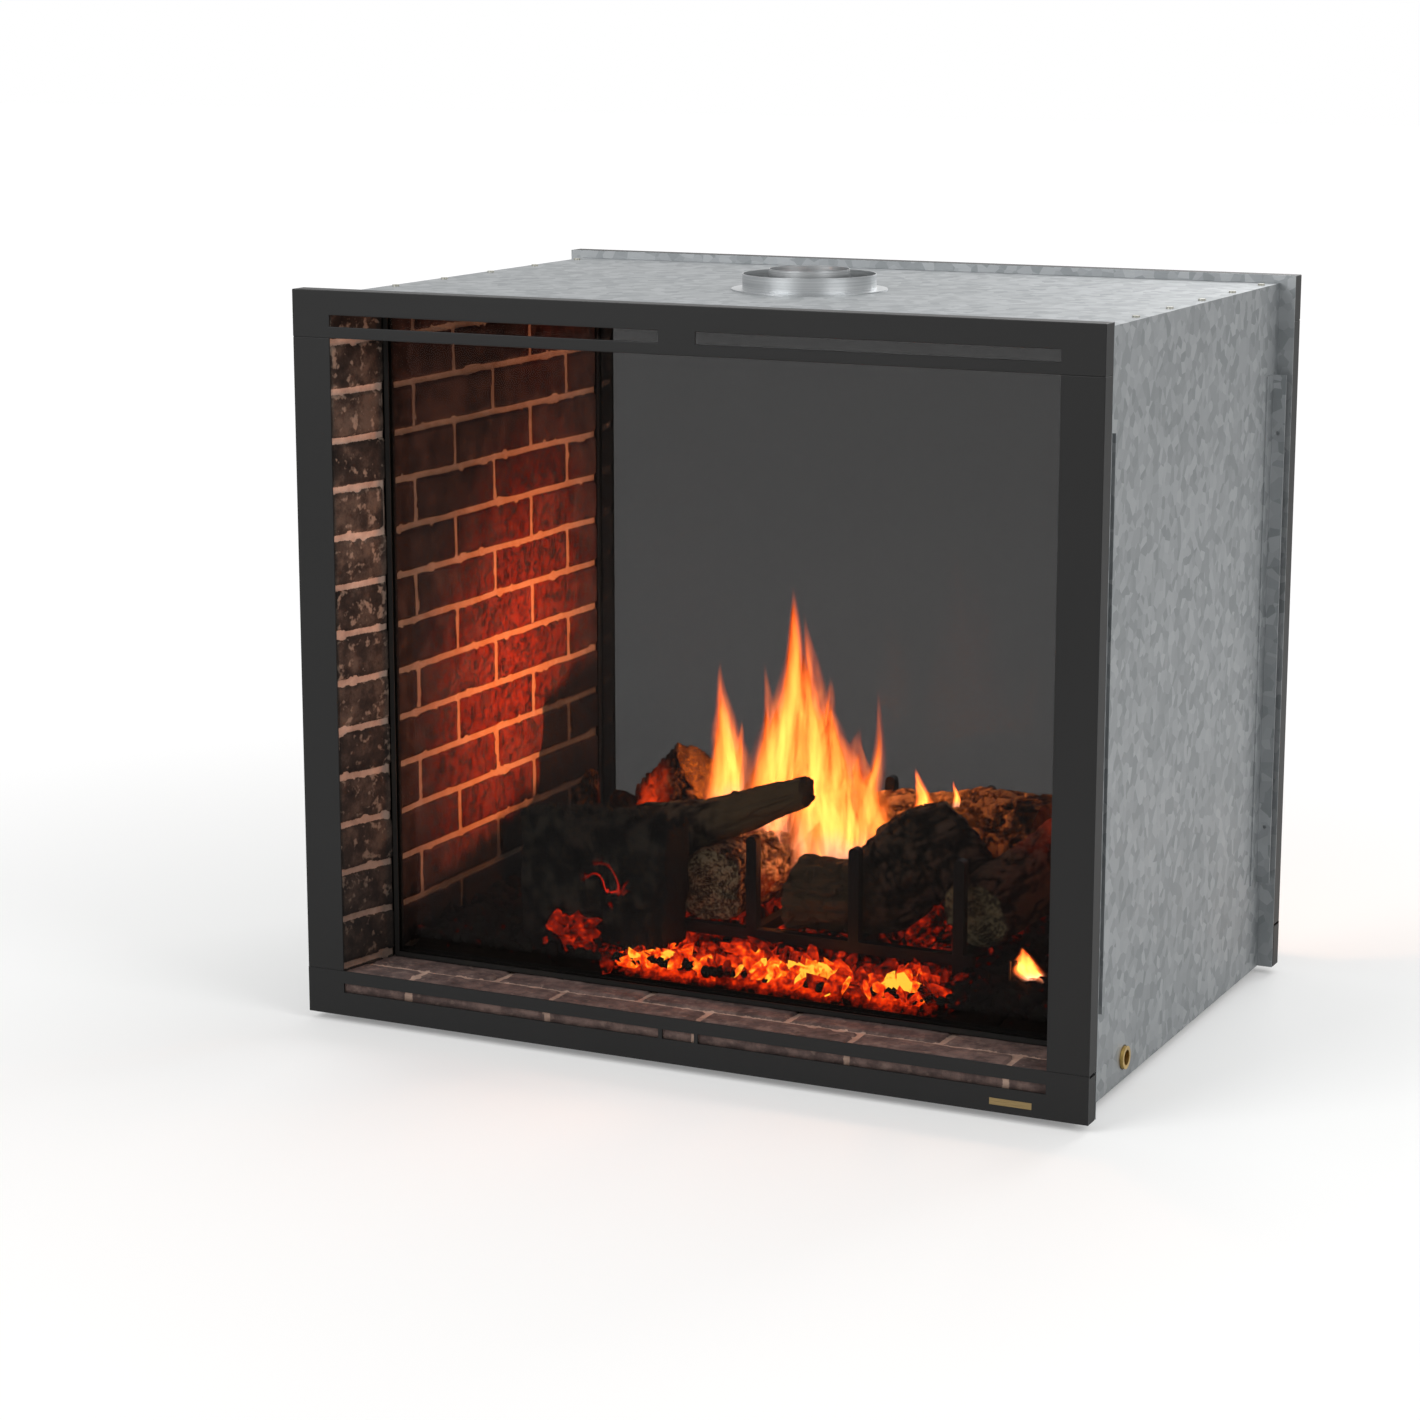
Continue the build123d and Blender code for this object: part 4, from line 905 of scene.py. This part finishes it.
bed_low, bed_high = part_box("ember_bed")
bed_level = bed_high.z - 0.004
bed_skin = 0.002
bed_rim = 0.02
bed_columns = 150
bed_lines = 90
draw = np.random.default_rng(12)
across, inwards = np.meshgrid(
    np.linspace(bed_low.x, bed_high.x, bed_columns), np.linspace(bed_low.y, bed_high.y, bed_lines)
)
rim_x = np.minimum(across - bed_low.x, bed_high.x - across)
rim_y = np.minimum(inwards - bed_low.y, bed_high.y - inwards)
rise = smooth(0.0, bed_rim, np.minimum(rim_x, rim_y))
heap = bed_low.z + bed_skin + (heap_height(across, inwards, bed_level) - bed_low.z) * rise
bed_points = np.stack([across, inwards, heap], axis=-1)
padded = np.pad(bed_points, ((1, 1), (1, 1), (0, 0)), mode="edge")
padded[[0, -1], :, 2] = bed_low.z
padded[:, [0, -1], 2] = bed_low.z
bed_heat = 0.8 * ember_heat(padded[..., 0], padded[..., 1]) - 0.1
bed = surface("ember_heap", padded, fill=True, layers={"fire_heat": bed_heat})
belongs(bed, "root", "ember_mix", ember_mix, "ember_bed")

ember_sizes = (0.4, 1.2)
ember_lift = (0.0, 0.7)
x = draw.uniform(bed_low.x + 0.01, bed_high.x - 0.008, ember_count)
y = draw.uniform(bed_low.y + 0.008, bed_high.y - 0.008, ember_count)
size = ember_size * draw.uniform(*ember_sizes, ember_count)
heat = ember_heat(x, y) * (1 + draw.normal(0, 0.2, ember_count))
lift = size * draw.uniform(*ember_lift, ember_count)
places = np.stack([x, y, heap_height(x, y, bed_level) + lift], -1)
embers = broken_pieces("loose_embers", places, size, (1.3, 0.6, 0.3), heat, seed=3)
belongs(embers, "root", "ember_mix", ember_mix)

# A broken block at the left end glows dull red: small pieces in three rows that lean back a little.
block_piece = 0.012
block_heat = 0.38
block_start, block_end, block_depth = -0.240, -0.188, -0.240
block_foot, block_top, block_lean = 0.104, 0.132, 0.2
across, up = np.meshgrid(np.linspace(block_start, block_end, 7), np.linspace(block_foot, block_top, 3))
places = np.stack([across, block_depth - block_lean * (block_top - up), up], axis=-1).reshape(-1, 3)
even = np.ones(len(places))
block = broken_pieces("red_hot_block", places, block_piece * even, (1.3, 0.7, 0.5), block_heat * even, seed=9)
belongs(block, "root", "ember_mix", ember_mix)

# The rock lies in a strip along the glass and, most of it, beyond the two ends of the bed.
rock_reach = 0.440
end_share = 0.74
glass_strip = (0.252, 0.260)
end_strip = (0.30, 0.436)
end_depth = 0.255
rock_sizes = (0.45, 1.3)
rock_lift = (0.35, 0.75)
strip_size = 0.62
x = draw.uniform(-rock_reach, rock_reach, rock_count)
y = draw.choice((-1, 1), rock_count) * draw.uniform(*glass_strip, rock_count)
side = draw.uniform(0, 1, rock_count) < end_share
x = np.where(side, draw.choice((-1, 1), rock_count) * draw.uniform(*end_strip, rock_count), x)
y = np.where(side, draw.uniform(-end_depth, end_depth, rock_count), y)
size = rock_size * draw.uniform(*rock_sizes, rock_count) * np.where(side, 1.0, strip_size)
on_bed = (x > bed_low.x) & (x < bed_high.x) & (np.abs(y) < bed_high.y)
tray_low, tray_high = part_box("burner_tray")
on_tray = (x > tray_low.x) & (x < tray_high.x) & (np.abs(y) < tray_high.y)
floor_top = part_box("firebox_floor")[1].z
ground = np.where(on_bed, heap_height(x, y, bed_level), np.where(on_tray, tray_high.z, floor_top))
places = np.stack([x, y, ground + size * draw.uniform(*rock_lift, rock_count)], -1)
rocks = broken_pieces("lava_rocks", places, size, (1.0, 0.85, 0.7), np.zeros(rock_count), seed=4, detail=2)
belongs(rocks, "root", "ember_mix", lava_rock)

# Flames: gas flames that rise between the logs, each a few thin curved sheets of burning gas.
# They are pale orange at the core, redder at the rims, and thin and pinkish at the foot.
flame_lines = 44
flame_widths = 13
sway = 0.45
sway_turns = 4.0
flutter = 0.12
flutter_turns = 9
full_turn = 6.28
turn_scatter = 0.2
foot_scatter = 0.2
sheet_height = (0.7, 0.99)
sheet_width = (0.65, 1.1)


def flame_sheets(name, tongues, seed):
    """Flames as leaf-shaped sheets, each tongue given by its foot, height, width and lean.

    At each height the sheet's middle sways by slow sine waves that die out at the tip, and its half width
    swells from the foot and closes at the tip: w (1 - t)^0.8 (0.4 + 2.4 t e^(-2.4 t)). Sheets of one tongue
    stand at different turns round its middle, a little apart. Heat is high in the middle of a sheet and low
    at its edges and tip. Cover, how much it hides, fades at the edges, the foot and the tip.
    """
    draw = np.random.default_rng(seed)
    pieces = []
    for x, y, foot, height, width, lean, warmth, sheets in tongues:
        phase = draw.uniform(0, full_turn, 4)
        for number in range(sheets):
            turn = np.pi * (number + 0.3) / sheets + draw.uniform(-turn_scatter, turn_scatter)
            t, w = np.meshgrid(
                np.linspace(0, 1, flame_lines), np.linspace(-1, 1, flame_widths), indexing="ij"
            )
            tall = height * (draw.uniform(*sheet_height) if number else 1.0)
            spread = width * draw.uniform(*sheet_width)
            start = draw.normal(0, foot_scatter, 2) * width
            half = spread * (1 - t) ** 0.8 * (0.4 + 2.4 * t * np.exp(-2.4 * t))
            wave = 0.5 * width * np.sin(np.pi * t)
            sway_x, sway_y = (
                wave
                * (
                    sway * np.sin(sway_turns * t + phase[axis])
                    + flutter * np.sin(flutter_turns * t + phase[axis + 1] + number)
                )
                for axis in (0, 2)
            )
            across = half * w * (1 + 0.07 * np.sin(flutter_turns * t + phase[2] + number))
            curl = 0.3 * half * w**2
            grid_x = x + start[0] * (1 - t) + lean * t + sway_x + across * np.cos(turn) - curl * np.sin(turn)
            grid_y = y + start[1] * (1 - t) + sway_y + across * np.sin(turn) + curl * np.cos(turn)
            grid = np.stack([grid_x, grid_y, foot + tall * t], axis=-1)
            edge = smooth(1.0, 0.15, np.abs(w))
            heat = (0.35 + 0.65 * edge) * (1 - 0.8 * t**1.3)
            cover = warmth * edge * (0.35 * smooth(0.0, 0.08, t) + 0.65 * smooth(0.06, 0.35, t))
            cover *= (0.22 + 0.78 * smooth(1.0, 0.35, t)) * smooth(1.0, 0.86, t)
            layers = {"fire_heat": heat, "cover": cover, "rise": t}
            pieces.append(surface(f"{name}_{len(pieces)}", grid, layers=layers))
    with bpy.context.temp_override(active_object=pieces[0], selected_editable_objects=pieces):
        bpy.ops.object.join()
    pieces[0].name = name
    return pieces[0]


sheet_cover = 0.26
gas_glow = 26.0
burning_gas, tree, shader, place = finish_named("burning_gas")
burning_gas.cycles.emission_sampling = "NONE"
streaks = add(tree, "Mapping", {"Vector": place, "Scale": (110.0, 110.0, 9.0)})
licks = noise(streaks, scale=1.0, detail=2.0)
streaked = span(licks, start=0.3, end=0.7, low=-0.2, high=0.2)
warmth = maths("ADD", layer(tree, "fire_heat"), streaked)
colour = ramp(warmth, ((0.0, "#ff5218"), (0.5, "#ff762c"), (1.0, "#ff8c3c")))
foot_share = span(layer(tree, "rise"), start=0.26, end=0.06)
tinted = mix(foot_share, colour, paint("#dc9070"))
torn = span(licks, start=0.34, end=0.6, low=0.45)
thin = scaled(scaled(layer(tree, "cover"), by=torn), by=sheet_cover)
feed(shader, {"Emission Color": tinted, "Emission Strength": gas_glow, "Alpha": thin})
feed(shader, {"Base Color": paint("#000000"), "Specular IOR Level": 0.0})
tongues = (
    (-0.036, 0.000, 0.172, 0.370, 0.066, 0.0155, 0.9, 9),
    (-0.006, 0.005, 0.170, 0.366, 0.062, -0.012, 0.9, 9),
    (0.018, -0.008, 0.170, 0.338, 0.058, -0.019, 0.95, 8),
    (0.044, 0.004, 0.172, 0.254, 0.084, -0.013, 0.95, 9),
    (0.088, 0.000, 0.176, 0.243, 0.036, 0.010, 0.5, 6),
    (0.066, 0.010, 0.172, 0.190, 0.070, 0.006, 0.7, 7),
    (-0.046, -0.010, 0.172, 0.270, 0.044, -0.010, 0.6, 6),
    (0.016, 0.020, 0.168, 0.230, 0.090, 0.004, 0.8, 8),
    (0.070, -0.020, 0.190, 0.112, 0.018, 0.001, 1.6, 4),
    (0.104, 0.012, 0.180, 0.110, 0.036, 0.012, 0.2, 5),
    (-0.114, 0.000, 0.228, 0.206, 0.048, -0.009, 0.9, 8),
    (-0.102, 0.012, 0.226, 0.130, 0.026, 0.003, 0.9, 6),
    (-0.128, 0.008, 0.226, 0.120, 0.030, -0.004, 0.8, 6),
    (-0.036, -0.030, 0.164, 0.100, 0.040, 0.004, 0.5, 5),
    (0.030, -0.030, 0.164, 0.110, 0.050, 0.002, 0.5, 5),
    (0.168, -0.008, 0.236, 0.084, 0.028, -0.014, 2.6, 5),
    (0.211, -0.008, 0.272, 0.036, 0.013, -0.004, 2.0, 3),
    (0.380, -0.150, 0.104, 0.040, 0.037, -0.026, 3.4, 7),
)
flames = flame_sheets("gas_flames", tongues, seed=5)
belongs(flames, "root", "ember_mix", burning_gas)
flames.visible_diffuse = False

# Gas controls under the hearth: valve, supply pipe, shut-off valve, two knobs and the igniter's button.
# The valve is die-cast aluminium, the pipe and fittings are brass, and the knobs are phenolic plastic.
die_cast = plain_finish(
    "die_cast_aluminium", ((0.3, "#7e8081"), (0.7, "#a0a2a3")), {"scale": 55.0, "detail": 4.0},
    roughness=0.48, metallic=0.9,
    grain={"scale": 900.0, "detail": 2.0, "strength": 0.3, "distance": 0.0003},
)
dress(die_cast, "valve_casting", "gas_valve")

yellow_brass = plain_finish(
    "turned_yellow_brass", ((0.3, "#a98a4c"), (0.7, "#d0b06a")), {"scale": 60.0, "detail": 4.0},
    roughness=(0.25, 0.45), metallic=1.0,
)
dress(yellow_brass, "brass_fitting", "gas_supply_line", "shutoff_valve")

phenolic = plain_finish(
    "moulded_phenolic", ((0.3, "#131312"), (0.7, "#1e1e1d")), {"scale": 160.0, "detail": 3.0},
    roughness=(0.3, 0.42),
)
dress(phenolic, "black_plastic", "control_knob", "flame_knob", "igniter_button")

dipped_vinyl = plain_finish(
    "dipped_vinyl", ((0.3, "#8c1d14"), (0.7, "#a8281c")), {"scale": 200.0, "detail": 2.0}, roughness=0.4,
)
dress(dipped_vinyl, "lever_paint", "shutoff_lever")

# Face frame at each side: folded steel header, stiles and sill panel, with a satin powder coat.
# Powder coat is a smooth charcoal skin with a very fine orange peel, and it rounds every edge a little.
edge_round = 0.0009
edge_steps = 2
sharp_angle = 40
powder_coat = plain_finish(
    "charcoal_powder_coat", ((0.3, "#131313"), (0.7, "#171717")), {"scale": 3.0, "detail": 4.0},
    roughness=(0.44, 0.54), specular=0.25,
    grain={"scale": 520.0, "detail": 2.0, "strength": 0.12, "distance": 0.0003},
)
trim_parts = ("header_trim", "left_stile", "right_stile", "sill_panel")
trim = [f"{depth}_{part}" for depth in ("front", "rear") for part in trim_parts]
frames = ["front_glass_frame", "rear_glass_frame"]
dress(powder_coat, "charcoal_paint", *trim)
for name in trim + frames:
    weld = nodes[name].modifiers.new("weld", "WELD")
    weld.merge_threshold = weld_reach
    bevel = nodes[name].modifiers.new("rounding", "BEVEL")
    bevel.width = edge_round
    bevel.segments = edge_steps
    bevel.limit_method = "ANGLE"
    bevel.angle_limit = np.radians(sharp_angle)
dress(heat_paint, "heat_paint", *frames)

# Badge: a thin plate of bronzed brass in its recess in the front sill panel, left blank.
# It is brushed along its length, so that its shine breaks up into fine lines.
bronze = plain_finish(
    "bronzed_brass", ((0.3, "#7d6a48"), (0.7, "#9c875d")), {"scale": 1.0, "detail": 2.0}, roughness=0.38,
    metallic=0.8, stretch=(40.0, 40.0, 2600.0),
)
dress(bronze, "bronze_plate", "badge_plate")

# Firelight: the warm light that the burning gas and embers throw on the logs and brick.
# Three small soft lamps stand in for it, because the flames' own sheets light nothing.


def lamp(name, kind, place, watts, tint="#ffffff", **sizes):
    """A soft lamp of some kind at a place, with its sizes."""
    light = bpy.data.lights.new(name, kind)
    light.energy = watts
    light.color = paint(tint)[:3]
    for key, value in sizes.items():
        setattr(light, key, value)
    made = placed(name, light)
    made.location = place
    return made


for name, place, radius, watts, tint in (
    ("flame_light", (0.0, 0.02, 0.36), 0.05, 13.0, "#ffb888"),
    ("low_flame_light", (0.05, -0.03, 0.22), 0.03, 4.0, "#ffa870"),
    ("left_flame_light", (-0.14, 0.02, 0.30), 0.04, 4.0, "#ffa870"),
):
    lamp(name, "POINT", place, watts, tint, shadow_soft_size=radius).visible_glossy = False

# Floor, light and camera: a pale studio floor that meets a white surround, with large soft lamps.
# The surround shows white to the camera and through glass, but lights the object at a plain level.


def seen_straight(tree):
    """1 for what the camera sees, straight or through glass, and 0 for what only lights the object."""
    ray = add(tree, "LightPath").node.outputs
    return maths("MAXIMUM", ray["Is Camera Ray"], ray["Is Transmission Ray"])


floor_reach = 30.0
floor_line = np.linspace(-floor_reach, floor_reach, 3)
floor_points = np.stack(np.meshgrid(floor_line, floor_line, [0.0]), axis=-1)[:, :, 0]
floor_sheet = surface("studio_floor", floor_points)
floor_finish, tree, shader, place = finish_named("studio_floor")
feed(shader, {"Roughness": 0.8, "Specular IOR Level": 0.1, "Emission Color": paint("#ffffff")})
away = add(tree, "VectorMath", {0: place}, operation="LENGTH")
far = span(away, start=0.7, end=2.2, low=0.22, interpolation_type="SMOOTHSTEP")
lift = scaled(seen_straight(tree), by=far)
plain = mix(lift, paint("#f4f4f3"), paint("#000000"))
feed(shader, {"Base Color": plain, "Emission Strength": lift})
floor_sheet.data.materials.append(floor_finish)

world = bpy.data.worlds.new("studio_surround")
bpy.context.scene.world = world
world.use_nodes = True
tree = world.node_tree
surround_light = 0.55
mirrored = add(tree, "LightPath", give="Is Glossy Ray")
level = span(maths("MAXIMUM", seen_straight(tree), mirrored), low=surround_light)
feed(tree.nodes["Background"], {"Strength": level, "Color": paint("#ffffff")})

middle = Vector((0.0, 0.0, 0.45))
for name, place, width, height, watts in (
    ("front_lamp", (-1.6, -3.6, 2.6), 2.6, 2.0, 90),
    ("right_lamp", (3.2, -1.2, 2.4), 2.0, 2.0, 45),
    ("rear_lamp", (0.6, 3.6, 2.6), 2.4, 2.0, 70),
):
    soft_box = lamp(name, "AREA", place, watts, shape="RECTANGLE", size=width, size_y=height)
    soft_box.rotation_euler = (middle - Vector(place)).to_track_quat("-Z", "Y").to_euler()

# The camera stands to the right of the front and looks a little down, as in the photograph.
camera_place = (1.7537, -3.9120, 1.2742)
camera_yaw = 25.80847
camera_pitch = 11.81869
focal_length = 86.512
view = bpy.data.cameras.new("photo_camera")
view.lens = focal_length
view.sensor_width = 36.0
view.clip_end = 200.0
camera = placed("photo_camera", view)
camera.location = camera_place
camera.rotation_euler = (np.radians(90 - camera_pitch), 0.0, np.radians(camera_yaw))
bpy.context.scene.camera = camera
bpy.context.scene.view_settings.view_transform = "Standard"
